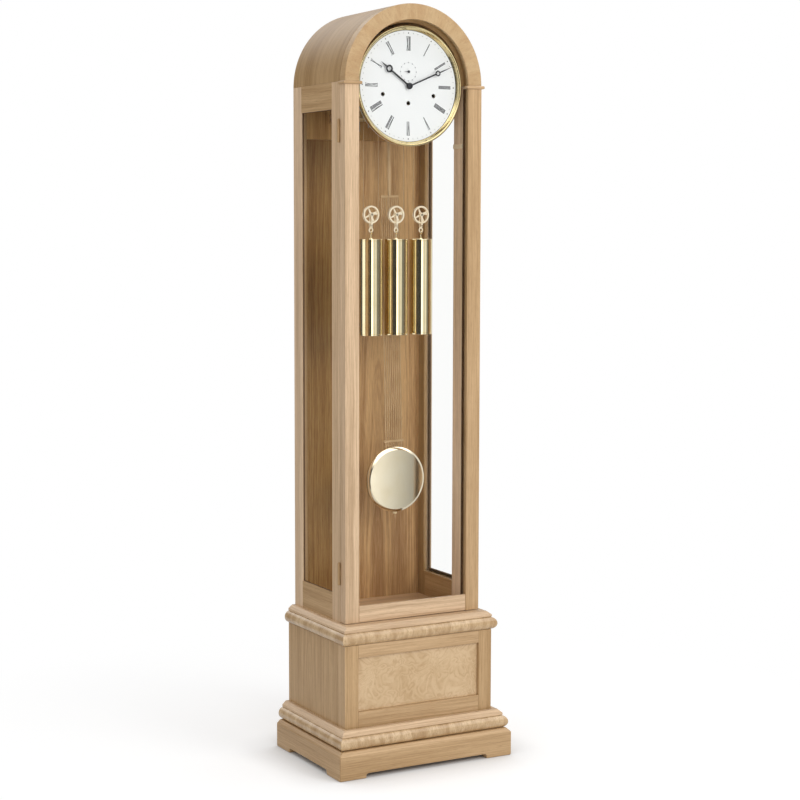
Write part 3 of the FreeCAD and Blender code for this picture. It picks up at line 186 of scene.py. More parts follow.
class Tree(Nodes):
    """A material and its nodes, with a Principled shader on the output."""

    def __init__(self, name, **surface):
        self.material = bpy.data.materials.new(name)
        self.material.use_nodes = True
        super().__init__(self.material.node_tree)
        self.nodes.clear()
        self.output = self.nodes.new("ShaderNodeOutputMaterial")
        self.surface = self.nodes.new("ShaderNodeBsdfPrincipled")
        self.show(self.surface.outputs[0])
        for socket, level in surface.items():
            self.surface.inputs[socket.replace("_", " ")].default_value = level

    def show(self, shader):
        self.links.new(shader, self.output.inputs[0])

    def split(self, vector):
        return self.add("SeparateXYZ", {0: vector}).outputs

    def noise(self, vector, scale=1.0, detail=2.0, roughness=0.5, distortion=0.0):
        return self.add("TexNoise", {"Vector": vector, "Scale": scale, "Detail": detail,
                                     "Roughness": roughness, "Distortion": distortion}).outputs[0]

    def stretched(self, parts, scales, **settings):
        """Noise over a vector whose parts each have a scale of their own."""
        scaled = {index: self.times(parts[index], scales[index]) for index in range(3)}
        return self.noise(self.add("CombineXYZ", scaled).outputs[0], **settings)

    def remap(self, source, low, high, to_low=0.0, to_high=1.0):
        return self.add("MapRange", {0: source, 1: low, 2: high, 3: to_low, 4: to_high}).outputs[0]

    def mix(self, share, *colours):
        """The first colour where the share is 0, the second where it is 1."""
        first, second = (linear(colour) if isinstance(colour, tuple) else colour for colour in colours)
        return self.add("Mix", {0: share, 6: first, 7: second}, data_type="RGBA").outputs[2]

    def attribute(self, name):
        return self.add("Attribute", {}, attribute_name=name)

    def place(self):
        """The place on the piece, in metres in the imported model's frame."""
        return self.add("TexCoord", {}).outputs["Object"]

    def bump(self, height, strength, distance):
        node = self.add("Bump", {"Height": height, "Strength": strength, "Distance": distance})
        self.drive("Normal", node.outputs[0])

    def drive(self, socket, source):
        self.links.new(source, self.surface.inputs[socket])

    def roughen(self, noise, low, high):
        """Roughness that follows a noise."""
        self.drive("Roughness", self.remap(noise, NOISE_LOW, NOISE_HIGH, low, high))


def oak(name, light, dark, coat=0.5, warm=1.15):
    """Lacquered oak: growth rings about a pith line, streaks, fibres and short dark pores."""
    tree = Tree(name, Coat_Weight=coat, Coat_Roughness=0.32, Specular_IOR_Level=0.4)
    parts = tree.split(tree.attribute("grain").outputs["Vector"])
    along, across, deep = parts
    wander = tree.stretched(parts, (1.4, 5.0, 5.0), detail=3.0)
    flat = tree.plus(tree.times(across, across), tree.times(deep, deep))
    radius = tree.plus(tree.maths("SQRT", flat), tree.times(wander, 0.03))
    log = (along, radius, deep)
    broad = tree.stretched(log, (0.9, 30.0, 0.0), detail=1.0)
    rings = tree.stretched(log, (1.6, 190.0, 0.0), detail=3.0, roughness=0.7)
    fibres = tree.stretched(parts, (9.0, 520.0, 520.0), detail=3.0, roughness=0.65)
    pores = tree.stretched(parts, (48.0, 1300.0, 1300.0), detail=1.0)
    fine = tree.plus(tree.times(rings, 0.4), tree.times(fibres, 0.35))
    figure = tree.plus(tree.times(broad, 0.25), fine)
    colour = tree.mix(tree.remap(figure, 0.41, 0.585), dark, light)
    pored = tree.mix(tree.remap(pores, 0.58, 0.74, 0.0, 0.35), colour, (118, 82, 44))
    # The tone carries each board's own tone and any painted light and shade; a raised tone is also
    # paled, as a painted sheen, and a lowered one deepened
    tone = tree.attribute("tone").outputs["Fac"]
    warmth = tree.remap(tone, 0.8, 1.43, warm, 0.74)
    toned = tree.add("HueSaturation", {"Value": tone, "Saturation": warmth, "Color": pored})
    tree.drive("Base Color", toned.outputs[0])
    tree.roughen(fibres, 0.52, 0.42)
    tree.bump(tree.maths("SUBTRACT", fibres, tree.times(pores, 0.7)), 0.22, 0.0003)
    return tree.material


def burr():
    """Honey veneer with a rippled, broken figure under lacquer."""
    tree = Tree("oak_burr", Coat_Weight=0.35, Coat_Roughness=0.25)
    grain = tree.attribute("grain").outputs["Vector"]
    clouds = tree.noise(grain, scale=14.0, detail=2.0)
    fine = tree.noise(grain, scale=230.0, detail=3.0, roughness=0.6)
    field = tree.noise(grain, scale=17.0, detail=2.0, roughness=0.5, distortion=0.7)
    ripple = tree.maths("SINE", tree.maths("MULTIPLY_ADD", field, 70.0, fine))
    breaks = tree.noise(grain, scale=38.0, detail=1.0)
    lines = tree.times(tree.remap(ripple, 0.35, 1.0), tree.remap(breaks, 0.36, 0.6))
    light = tree.mix(tree.remap(clouds, NOISE_LOW, NOISE_HIGH), (196, 164, 122), (212, 182, 142))
    sheen = tree.mix(tree.remap(ripple, -1.0, 0.4, 0.22, 0.0), light, (226, 200, 162))
    lined = tree.mix(tree.times(lines, 0.32), sheen, (170, 132, 88))
    specked = tree.mix(tree.remap(fine, 0.56, 0.74, 0.0, 0.35), lined, (158, 120, 76))
    tree.drive("Base Color", specked)
    tree.roughen(fine, 0.4, 0.5)
    tree.bump(ripple, 0.05, 0.0003)
    return tree.material


def cross_band(name, deep, pale, contrast, coat):
    """Honey veneer laid across the mouldings and the arch, mottled in short soft bars."""
    tree = Tree(name, Coat_Weight=coat, Coat_Roughness=0.14)
    parts = tree.split(tree.attribute("grain").outputs["Vector"])
    patches = tree.stretched(parts, (40.0, 14.0, 14.0), detail=3.0, distortion=0.6)
    bars = tree.stretched(parts, (200.0, 60.0, 60.0), detail=3.0, roughness=0.6)
    fine = tree.stretched(parts, (600.0, 200.0, 200.0), detail=2.0)
    light = tree.mix(tree.remap(patches, 0.38, 0.6), deep, pale)
    barred = tree.mix(tree.remap(bars, 0.48, 0.68, 0.0, contrast), light, (160, 122, 78))
    specked = tree.mix(tree.remap(fine, 0.52, 0.68, 0.0, contrast), barred, (150, 112, 68))
    tree.drive("Base Color", specked)
    tree.roughen(bars, 0.36, 0.46)
    tree.bump(bars, 0.05, 0.0003)
    return tree.material


def clouded(name, colour, worn, rough, noise=(160.0, 2.0), spread=(0.0, 1.0), relief=0.0, **surface):
    """Two shades in soft clouds, which the roughness and any relief follow."""
    tree = Tree(name, **surface)
    clouds = tree.noise(tree.place(), *noise)
    tree.drive("Base Color", tree.mix(tree.remap(clouds, *spread), colour, worn))
    tree.roughen(clouds, *rough)
    if relief:
        tree.bump(clouds, relief, 0.0004)
    return tree


def brass(name, colour, worn, rough_low, rough_high, lines=0.0, metal=1.0):
    """Brass with faint clouding, and fine turning lines where it is satin."""
    tree = clouded(name, colour, worn, (rough_low, rough_high), (24.0, 3.0), (0.35, 0.7),
                   Metallic=metal)
    if lines:
        tree.bump(tree.noise(tree.place(), scale=900.0), lines, 0.0001)
    return tree.material


# Depths between which the drums' near-black winding squares, dark steel and painted shade, turn to brass
SHADED_SQUARES_END = (-0.063, -0.061)


def drum_metal():
    """Brass drums whose winding squares, near the dial, are dark steel darkened further with painted
    shade of the winding holes.
    """
    tree = Tree("drum_brass", Metallic=1.0)
    place = tree.place()
    clouds = tree.noise(place, scale=60.0, detail=2.0)
    gold = tree.mix(clouds, (232, 210, 160), (214, 188, 136))
    near = tree.remap(tree.split(place)[1], *SHADED_SQUARES_END)
    # Painted shade: the squares in the winding holes are near black, darker than their steel
    tree.drive("Base Color", tree.mix(near, (30, 28, 26), gold))
    tree.roughen(clouds, 0.34, 0.44)
    return tree.material


def steel(name, dark, light, metal=1.0):
    """Drawn steel with the slant of its twisted wires."""
    tree = Tree(name, Metallic=metal)
    twist = tree.add("TexWave", {"Vector": tree.place(), "Scale": 260.0, "Distortion": 0.4},
                     bands_direction="DIAGONAL").outputs["Fac"]
    tree.drive("Base Color", tree.mix(twist, dark, light))
    tree.drive("Roughness", tree.remap(twist, 0.0, 1.0, 0.24, 0.4))
    tree.bump(twist, 0.2, 0.0002)
    return tree.material


def enamel():
    """White dial lacquer with a hardly visible orange peel."""
    tree = Tree("white_enamel", Coat_Weight=0.4, Coat_Roughness=0.12)
    place = tree.place()
    peel = tree.noise(place, scale=420.0, detail=2.0)
    clouds = tree.noise(place, scale=9.0, detail=2.0)
    tree.drive("Base Color", tree.mix(clouds, (242, 244, 244), (247, 248, 247)))
    tree.roughen(peel, 0.42, 0.5)
    tree.bump(peel, 0.04, 0.0001)
    return tree.material


def plain(name, colour, rough_low, rough_high, worn=(46, 46, 50)):
    """Blued steel, rubber or printing ink."""
    return clouded(name, colour, worn, (rough_low, rough_high), Coat_Weight=0.2,
                   Coat_Roughness=0.2).material


def glass():
    """Clear float glass that lets the lamps through, with a faint ripple."""
    tree = Tree("clear_glass", Roughness=0.0, IOR=1.12, Transmission_Weight=1.0)
    ripple = tree.noise(tree.place(), scale=3.0, detail=1.0)
    tree.drive("Base Color", tree.mix(ripple, (254, 255, 254), (255, 255, 255)))
    shadow = tree.add("LightPath", {}).outputs["Is Shadow Ray"]
    clear = tree.add("BsdfTransparent", {}).outputs[0]
    tree.show(tree.fade(shadow, tree.surface.outputs[0], clear))
    return tree.material


OAK = oak("oak", (206, 173, 132), (170, 136, 95))
OAK_INSIDE = oak("oak_inside", (212, 171, 117), (160, 117, 73), coat=0.1, warm=1.12)
BURR = burr()
BANDED = cross_band("oak_cross_band", (182, 148, 104), (212, 182, 140), 0.45, 1.0)
VENEER = cross_band("oak_arch_veneer", (182, 147, 102), (192, 161, 117), 0.3, 0.4)
POLISHED = brass("polished_brass", (247, 232, 192), (241, 224, 180), 0.06, 0.09)
BOB = brass("bob_brass", (252, 240, 212), (248, 234, 202), 0.1, 0.14)
SATIN = brass("satin_brass", (246, 230, 192), (238, 218, 176), 0.3, 0.42, lines=0.06)
PALE = brass("pale_brass", (255, 242, 214), (252, 234, 202), 0.36, 0.46, metal=0.35)
GOLD = brass("bezel_brass", (234, 216, 168), (224, 204, 152), 0.1, 0.16)
BRONZE = brass("antique_brass", (186, 154, 112), (170, 138, 98), 0.4, 0.5, metal=0.3)
DRUMS = drum_metal()
RODS = brass("rod_brass", (206, 174, 132), (186, 154, 112), 0.4, 0.5, metal=0.3)
CABLE = steel("cable_steel", (160, 130, 92), (200, 170, 130), metal=0.3)
STEEL = steel("steel", (150, 146, 138), (200, 196, 188))
ENAMEL = enamel()
BLUED = plain("blued_steel", (16, 16, 20), 0.28, 0.38)
INK = plain("printing_ink", (34, 34, 38), 0.5, 0.6)
IRON = clouded("cast_iron", (60, 58, 56), (96, 92, 88), (0.55, 0.7), noise=(300.0, 4.0),
               relief=0.3, Metallic=0.6).material
# Brown strips, partly glazing seal and partly painted shade and shadow
SEAL_AND_PAINTED_SHADE = plain("seal_and_painted_shade", (100, 72, 44), 0.5, 0.6, (88, 62, 38))
GREY_INK = plain("grey_ink", (172, 172, 174), 0.5, 0.6, (190, 190, 192))
GLASS = glass()


# Outlines

def rounded(corners, radius):
    """A closed outline whose corners are arcs. A corner may give a radius of its own."""
    outline = []
    for index, corner in enumerate(corners):
        here = Vector(corner[:2])
        before = Vector(corners[index - 1][:2]) - here
        after = Vector(corners[(index + 1) % len(corners)][:2]) - here
        reach = corner[2] if len(corner) == 3 else radius
        half = before.angle(after) / 2
        cut = min(reach / math.tan(half), before.length * CORNER_SHARE, after.length * CORNER_SHARE)
        before.normalize()
        after.normalize()
        middle = here + (before + after).normalized() * (cut / math.cos(half))
        first = here + before * cut - middle
        last = here + after * cut - middle
        for step in range(CORNER_STEPS + 1):
            outline.append(middle + first.lerp(last, step / CORNER_STEPS).normalized() * first.length)
    return outline


def arc(centre, radius, first, last, steps):
    """Points on an arc between two angles in degrees."""
    points = []
    for step in range(steps + 1):
        angle = math.radians(first + (last - first) * step / steps)
        points.append(Vector((centre[0] + radius * math.cos(angle),
                              centre[1] + radius * math.sin(angle))))
    return points


def circle(centre, radius, steps=SMALL_STEPS):
    return arc(centre, radius, 0, 360 * (steps - 1) / steps, steps - 1)


def oblong(left, foot, right, top):
    return [(left, foot), (right, foot), (right, top), (left, top)]


# How boards are sawn: where the pith line lies beside and below a board, and how much it slopes
LOG_LENGTH = 9.0
FLAMED = ((-0.25, 0.25), (0.02, 0.04), (0.018, 0.03))
PLAIN = ((0.12, 0.2), (0.1, 0.16), (-0.004, 0.004))
ARCH_PITH = 0.13
ARCH_SHADES = (0.97, 1.03)


# Pieces

class Piece:
    """One piece of the clock: geometry gathered in a mesh, then given its body and finish."""

    def __init__(self, name):
        self.name = name
        self.mesh = bmesh.new()
        self.rng = random.Random(zlib.crc32(name.encode()))

    def copy(self, node, edge=EDGE):
        """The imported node's own shape, with its coplanar faces joined and its edges eased."""
        self.mesh.from_mesh(NODES[node].data)
        bmesh.ops.remove_doubles(self.mesh, verts=self.mesh.verts, dist=MERGE)
        bmesh.ops.dissolve_limit(self.mesh, angle_limit=FLAT_ANGLE, verts=self.mesh.verts,
                                 edges=self.mesh.edges)
        sharp = [side for side in self.mesh.edges
                 if len(side.link_faces) == 2 and side.calc_face_angle(0) > SHARP_ANGLE]
        bmesh.ops.bevel(self.mesh, geom=sharp, offset=edge, segments=2, profile=0.5,
                        affect="EDGES", clamp_overlap=True)
        return self

    def row(self, points):
        return [self.mesh.verts.new(point) for point in points]

    def ring(self, middle, across, up, radii):
        """A closed row of points about a middle, one for each radius."""
        points = []
        for index, radius in enumerate(radii):
            angle = 2 * math.pi * index / len(radii)
            points.append(middle + across * radius * math.cos(angle) + up * radius * math.sin(angle))
        return self.row(points)

    def skin(self, first, second):
        """Faces between two closed rows of points, where either may be a single point."""
        count = max(len(first), len(second))
        for index in range(count):
            following = (index + 1) % count
            corners = []
            for row, order in ((first, (index, following)), (second, (following, index))):
                corners += row if len(row) == 1 else [row[place] for place in order]
            self.mesh.faces.new(corners)

    def sheath(self, rows, capped=True):
        """Faces from each row of points to the next, and over the two ends."""
        for first, second in zip(rows, rows[1:]):
            self.skin(first, second)
        if capped:
            self.mesh.faces.new(rows[0])
            self.mesh.faces.new(reversed(rows[-1]))
        return self

    def turned(self, outline, centre, axis, steps=TURNED_STEPS):
        """A turned form: (radius, distance along the axis), closed unless it ends on the axis."""
        across = Y if axis == X else X
        up = axis.cross(across)
        rings = []
        for radius, level in outline:
            middle = centre + axis * level
            if radius < MERGE:
                rings.append(self.row([middle]))
            else:
                rings.append(self.ring(middle, across, up, [radius] * steps))
        if outline[0][0] > MERGE and outline[-1][0] > MERGE:
            rings.append(rings[0])
        return self.sheath(rings, capped=False)

    def swept_arch(self, section, fade=None):
        """A section of (radius, y) swept over the half round above the springing line."""
        rows = []
        for step in range(ARC_STEPS + 1):
            angle = math.pi * step / ARC_STEPS
            rows.append(self.row((radius * math.cos(angle), y, SPRINGING + radius * math.sin(angle))
                                 for radius, y in section))
        self.sheath(rows)
        radii = [radius for radius, _ in section]
        mid_radius = (max(radii) + min(radii)) / 2
        shift = self.rng.uniform(0, LOG_LENGTH)
        shade = self.rng.uniform(*ARCH_SHADES)
        for face in self.mesh.faces:
            self.mark(face, shade, lambda place: (
                math.atan2(max(place.z - SPRINGING, 0), place.x) * mid_radius + shift,
                math.hypot(place.x, place.z - SPRINGING) - mid_radius + ARCH_PITH, place.y), fade)
        return self

    def prism(self, corners, back, front):
        """A convex outline of (x, z) between two depths."""
        return self.sheath([self.row((x, y, z) for x, z in corners) for y in (back, front)])

    def plate(self, outlines, place, thickness, edge=FINE_EDGE):
        """A flat plate of one outline and its holes, drawn in x and z, with eased edges."""
        curve = bpy.data.curves.new(self.name, "CURVE")
        curve.dimensions = "2D"
        curve.fill_mode = "BOTH"
        curve.extrude = thickness / 2 - edge
        curve.bevel_depth = edge
        curve.bevel_resolution = 1
        curve.offset = -edge
        for outline in outlines:
            spline = curve.splines.new("POLY")
            spline.points.add(len(outline) - 1)
            for point, corner in zip(spline.points, outline):
                point.co = (corner[0], corner[1], 0, 1)
            spline.use_cyclic_u = True
        drawn = bpy.data.objects.new(self.name + "_outline", curve)
        made = bpy.data.meshes.new_from_object(drawn)
        made.transform(Matrix.Translation(place) @ Matrix.Rotation(math.pi / 2, 4, "X"))
        part = bmesh.new()
        part.from_mesh(made)
        bmesh.ops.remove_doubles(part, verts=part.verts, dist=MERGE)
        part.to_mesh(made)
        self.mesh.from_mesh(made)
        part.free()
        bpy.data.objects.remove(drawn)
        bpy.data.curves.remove(curve)
        bpy.data.meshes.remove(made)
        return self

    def turn(self, angle, about):
        """Turn all that has been gathered so far about an axis that points backwards."""
        move = (Matrix.Translation(about) @ Matrix.Rotation(angle, 4, Y)
                @ Matrix.Translation(-about))
        bmesh.ops.transform(self.mesh, matrix=move, verts=self.mesh.verts)
        return self

    def cut_at(self, x):
        """Add an edge across the piece, where its tone, with its painted shade, may turn."""
        everything = self.mesh.verts[:] + self.mesh.edges[:] + self.mesh.faces[:]
        bmesh.ops.bisect_plane(self.mesh, geom=everything, plane_co=(x, 0, 0), plane_no=X)
        return self

    def mark(self, face, shade, grain, fade):
        """Write the face's timber: a shade, which may include painted light and shade, and a place in
        the log for each corner.
        """
        layers = self.mesh.loops.layers
        places = layers.float_vector.get("grain") or layers.float_vector.new("grain")
        shades = layers.float.get("tone") or layers.float.new("tone")
        for corner in face.loops:
            corner[places] = grain(corner.vert.co)
            corner[shades] = shade * (fade(corner.vert.co) if fade else 1)

    def boards(self):
        """The separate boards of the piece, as lists of points."""
        left = set(self.mesh.verts)
        found = []
        for start in self.mesh.verts:
            if start not in left:
                continue
            left.discard(start)
            board = [start]
            for corner in board:
                for side in corner.link_edges:
                    other = side.other_vert(corner)
                    if other in left:
                        left.discard(other)
                        board.append(other)
            found.append(board)
        return found

    def strips(self, faces):
        """The front, left and right strips of a moulding that is mitred at its corners."""
        reach = max(abs(corner.co.x) for face in faces for corner in face.verts)
        front = min(corner.co.y for face in faces for corner in face.verts)
        found = {}
        for face in faces:
            middle = face.calc_center_median()
            side = reach - abs(middle.x) < middle.y - front
            found.setdefault(math.copysign(1, middle.x) if side else 0, []).append(face)
        return [(found[key], 1 if key else 0) for key in sorted(found)]

    def grained(self, axis=None, flamed=False, contrast=0.03, mitred=False, shade=1, fade=None):
        """Give each board its own stretch of timber: (along, across, deep) about a pith line.

        The shade is a number, or a function of the board's middle, and may be painted light or shade;
        the fade paints light or shade that turns across the board.
        """
        timbers = []
        for board in self.boards():
            faces = list({face: None for corner in board for face in corner.link_faces})
            timbers += self.strips(faces) if mitred else [(faces, axis)]
        for faces, chosen in timbers:
            points = [corner.co for face in faces for corner in face.verts]
            low = [min(point[i] for point in points) for i in range(3)]
            high = [max(point[i] for point in points) for i in range(3)]
            order = sorted(range(3), key=lambda i: low[i] - high[i])
            if chosen is not None:
                order.remove(chosen)
                order.insert(0, chosen)
            length, wide, thin = order
            middle = (low[wide] + high[wide]) / 2
            width = high[wide] - low[wide]
            shift = self.rng.uniform(0, LOG_LENGTH)
            aside, below, slope = (self.rng.uniform(*span) for span in (FLAMED if flamed else PLAIN))
            pith = (aside * width if flamed else aside + width, below)
            tone = 1 + self.rng.uniform(-contrast, contrast)
            tone *= shade((Vector(low) + Vector(high)) / 2) if callable(shade) else shade
            for face in faces:
                self.mark(face, tone, lambda place: (
                    place[length] + shift, place[wide] - middle + pith[0],
                    place[thin] - low[thin] + pith[1] + (place[length] - low[length]) * slope),
                    fade)
        return self

    def built(self, material):
        """The gathered geometry as an object in the scene."""
        data = bpy.data.meshes.new(self.name)
        self.mesh.to_mesh(data)
        self.mesh.free()
        data.materials.append(material)
        piece = bpy.data.objects.new(self.name, data)
        bpy.context.scene.collection.objects.link(piece)
        return piece

    def done(self, body, material, slot, *replaced, smooth=SMOOTH_ANGLE):
        """Make the piece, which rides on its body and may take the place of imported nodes."""
        bmesh.ops.recalc_face_normals(self.mesh, faces=self.mesh.faces)
        piece = self.built(material)
        piece.data.shade_smooth()
        piece.data.set_sharp_from_angle(angle=smooth)
        weighted = piece.modifiers.new("normals", "WEIGHTED_NORMAL")
        weighted.keep_sharp = True
        if body:
            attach(piece, body)
        if replaced:
            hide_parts(*replaced)
        return piece


# Case and door

# Painted light on the jambs and painted shade on the rear stiles' inside faces
JAMB_PAINTED_LIGHT = 1.35
REAR_REVEAL_PAINTED_SHADE = 0.55
# Painted shade on the back panel's left part: where it starts, where it is full, and how deep it is
BACK_SHADE_START = -0.045
BACK_SHADE_END = -0.085
BACK_SHADE_DEPTH = 0.42
# Painted shade and sheen on the roof: tone at its foot, its slope, and its rise towards the crown
ROOF_PAINTED_LIGHT_LEVELS = (0.73, -0.2, 0.22)
RIB_GAP = 0.0025
# Dark strips: glazing seals widened over the reveals as painted shade, and painted shadow on the jambs
SEAL_WIDTH = 0.0045
SEAL_EDGE = 0.001
JAMB_SHADOW_GAPS = (0.0015, 0.0004)
JAMB_SHADOW_DEPTHS = (0.001, -0.0008)


def wood(node, material=OAK, slot="oak", edge=EDGE, **grain):
    """A wooden node as timber: its own shape with eased edges and grain along its boards."""
    piece = Piece(node + "_wood").copy(node, edge).grained(**grain)
    piece.done(NODES[node]["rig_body"], material, slot, node)


def paint(node, material):
    """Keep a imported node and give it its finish."""
    thing = NODES[node]
    thing.data.materials.clear()
    thing.data.materials.append(material)


def stile_painted_light(place):
    """Painted light on the jambs, where little light reaches, and painted shade on the rear stiles'
    inside faces.
    """
    if abs(place.x) < JAMB_INNER + EDGE:
        return JAMB_PAINTED_LIGHT
    return REAR_REVEAL_PAINTED_SHADE if place.y > 0 and abs(place.x) < STILE_INNER + EDGE else 1


def back_painted_shade(place):
    """Painted shade behind the left stile, on the face that looks into the trunk."""
    if place.y > BACK_MIDDLE:
        return 1
    share = (BACK_SHADE_START - place.x) / (BACK_SHADE_START - BACK_SHADE_END)
    return 1 - BACK_SHADE_DEPTH * min(max(share, 0), 1)


def roof_painted_light(place):
    """Painted shade on the roof, darker low on its sides than over its top, where the lighter tone is a
    painted sheen.
    """
    rise = max(place.z - SPRINGING, 0) / ARCH_RADIUS
    foot, slope, crown = ROOF_PAINTED_LIGHT_LEVELS
    return foot + slope * rise + crown * rise ** 4


def case_woodwork():
    wood("plinth_front_board", edge=SOFT_EDGE, shade=0.95)
    wood("plinth_side_boards", edge=SOFT_EDGE, shade=0.93)
    wood("lower_back_boards", OAK_INSIDE, "oak_inside")
    wood("base_deck")
    wood("trunk_deck")
    for level in ("lower", "upper"):
        wood(level + "_torus_moulding", BANDED, "oak_burr", edge=FINE_EDGE, mitred=True)
    for level in ("lower", "upper"):
        wood(level + "_step_moulding", mitred=True, shade=1.2)
    wood("base_corner_posts", contrast=0.01, shade=0.92)
    wood("base_front_rails")
    wood("base_front_panel", BURR, "oak_burr")
    wood("base_side_panels", axis=2, flamed=True, shade=0.88)
    # The fade paints light onto the jambs and shade onto the rear stiles' inside faces
    wood("side_stiles", contrast=0.01, shade=lambda middle: 1.28 if middle.y > 0 else 1.16,
         fade=stile_painted_light)
    wood("side_rails", shade=0.88)
    wood("case_floor_board", OAK_INSIDE, "oak_inside", axis=0, shade=1.27)
    # Painted shade: the back panel darkens towards its left, behind the left stile
    back = Piece("back_panel_wood").copy("back_panel").cut_at(BACK_SHADE_END).cut_at(BACK_SHADE_START)
    back.grained(axis=2, flamed=True, fade=back_painted_shade)
    back.done("case", OAK_INSIDE, "oak_inside", "back_panel")
    # Painted shade: the sound board is darkened, as little light reaches it
    wood("sound_board", OAK_INSIDE, "oak_inside", axis=2, shade=0.85)
    # Painted light: the left door stile is lightened, as if lit more than the right one
    wood("door_stiles", edge=SOFT_EDGE, contrast=0.0,
         shade=lambda middle: 1.22 if middle.x < 0 else 0.98)
    wood("door_bottom_rail", edge=SOFT_EDGE, shade=1.2)
    wood("door_capital_beads", edge=FINE_EDGE, axis=0)
    wood("movement_bracket", OAK_INSIDE, "oak_inside")


def arched_woodwork():
    """The door's arched head, the bent roof and the rib at its front."""
    section = rounded([(ARCH_RADIUS, DOOR_BACK), (ARCH_RADIUS, DOOR_FACE, SOFT_EDGE),
                       (OPENING, DOOR_FACE, SOFT_EDGE), (OPENING, SHOULDER),
                       (REBATE, SHOULDER), (REBATE, DOOR_BACK)], EDGE)
    head = Piece("door_arch_head_wood").swept_arch(section)
    head.done("door", VENEER, "oak", "door_arch_head")
    rib_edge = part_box("front_arch_rib")[1].x
    # The roof's fade is painted shade and sheen
    for node, inner, material, slot, fade in (
            ("roof_skin", rib_edge, OAK, "oak", roof_painted_light),
            ("front_arch_rib", DIAL_EDGE + RIB_GAP, OAK_INSIDE, "oak_inside", None)):
        low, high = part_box(node)
        section = rounded([(high.x, high.y), (high.x, low.y), (inner, low.y), (inner, high.y)], EDGE)
        ring = Piece(node + "_wood").swept_arch(section, fade)
        ring.done("case", material, slot, node)


def seals_and_painted_shade():
    """Dark strips round the side panes, partly glazing seals and partly painted shade on the reveals,
    and painted shadow strips on the jambs behind the door.
    """
    low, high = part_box("side_glass_panes")
    near, far = low.y + GLASS_LAP, high.y - GLASS_LAP
    foot, top = low.z + GLASS_LAP, high.z - GLASS_LAP
    # Seals at the panes' edges, widened over the reveals as painted shade
    glazing = Piece("side_glazing_seals")
    for side in (-1, 1):
        first, last = side * high.x, side * (high.x + SEAL_WIDTH)
        rows = []
        for x, inset in oblong(first, 0, last, SEAL_EDGE):
            loop = oblong(near + inset, foot + inset, far - inset, top - inset)
            rows.append(glazing.row((x, y, z) for y, z in loop))
        glazing.sheath(rows + rows[:1], capped=False)
    glazing.done("case", SEAL_AND_PAINTED_SHADE, "black_steel")
    # Painted shadow: dark strips on the jambs' fronts behind the door
    strips = Piece("jamb_seals")
    back, front = (DOOR_BACK + depth for depth in JAMB_SHADOW_DEPTHS)
    for side in (-1, 1):
        inner = side * (OPENING + JAMB_SHADOW_GAPS[0])
        outer = side * (REBATE - JAMB_SHADOW_GAPS[1])
        strips.prism(oblong(inner, CAPITAL_FOOT, outer, JAMB_FOOT), back, front)
    strips.done("case", SEAL_AND_PAINTED_SHADE, "black_steel")


# Dial and bezel

NUMERALS = ("XII", "I", "II", "III", "IIII", "V", "VI", "VII", "VIII", "IX", "X", "XI")
NUMERAL_FOOT = 0.0915
NUMERAL_HEIGHT = 0.0362
THICK = 0.0021
THIN = 0.0009
SERIF = 0.0006
LETTER_WIDTH = {"I": 0.0029, "V": 0.0066, "X": 0.0068}
INK_HEIGHT = 0.00012
LIFT_SHARE = 1 / 8
DOT_STEPS = 12
DIAL_RADIUS = 0.144
# A black ring at the dial's edge, a painted shadow of the gap under the bezel
BEZEL_SHADOW_LINE = (DIAL_RADIUS - 0.0009, DIAL_RADIUS + 0.0004)
HOLE_RADIUS = 0.0056
HOLE_RIM = 0.0069
HOLE_DEPTH = 0.0012
HOLE_RISE = 0.0004
HOLE_EDGE = 0.00012
BEZEL_NOSE = 0.0035

# Rings of dots: radius, rise above the dial's middle, radius of every fifth dot and of the others
MINUTE_DOTS = (0.1365, 0.0, 0.0016, 0.0009)
SECOND_DOTS = (0.0236, SECONDS_RISE, 0.0018, 0.0005)


def on_axis(depth, rise=0.0):
    """A point on the line through the dial's middle, or above it."""
    return Vector((0, depth, DIAL_LEVEL + rise))


def letter(kind, start):
    """The strokes of a letter as quadrilaterals of (across, up), from its left edge."""
    width = LETTER_WIDTH[kind]
    left, middle, right = start + SERIF, start + width / 2, start + width - SERIF
    reach = THICK
    if kind == "I":
        legs = [(middle - THICK / 2, middle + THICK / 2, middle + THICK / 2, middle - THICK / 2)]
        feet, heads = [middle], [middle]
        reach = width / 2 - SERIF / 4
    elif kind == "V":
        legs = [(middle - THICK / 2, middle + THICK / 2, left + THICK, left),
                (middle - THIN / 2, middle + THIN / 2, right, right - THIN)]
        feet, heads = [], [left + THICK / 2, right - THIN / 2]
    else:
        legs = [(right - THICK, right, left + THICK, left), (left, left + THIN, right, right - THIN)]
        feet, heads = [left + THIN, right - THICK / 2], [left + THICK / 2, right - THIN]
    strokes = [list(zip(leg, (0, 0, NUMERAL_HEIGHT, NUMERAL_HEIGHT))) for leg in legs]
    for places, foot in ((feet, 0), (heads, NUMERAL_HEIGHT - SERIF)):
        for x in places:
            strokes.append(oblong(x - reach, foot, x + reach, foot + SERIF))
    return strokes


def on_dial(turn, out, across=0.0, rise=0.0):
    """A point of the dial at a clock angle in degrees and a distance from its middle."""
    angle = math.radians(turn)
    return (out * math.sin(angle) + across * math.cos(angle),
            DIAL_LEVEL + rise + out * math.cos(angle) - across * math.sin(angle))


def dots(piece, radius, rise, fifth, other):
    for mark in range(60):
        dot = circle(on_dial(mark * 6, radius, rise=rise), other if mark % 5 else fifth, DOT_STEPS)
        piece.prism(dot, DIAL_FACE, DIAL_FACE - INK_HEIGHT)


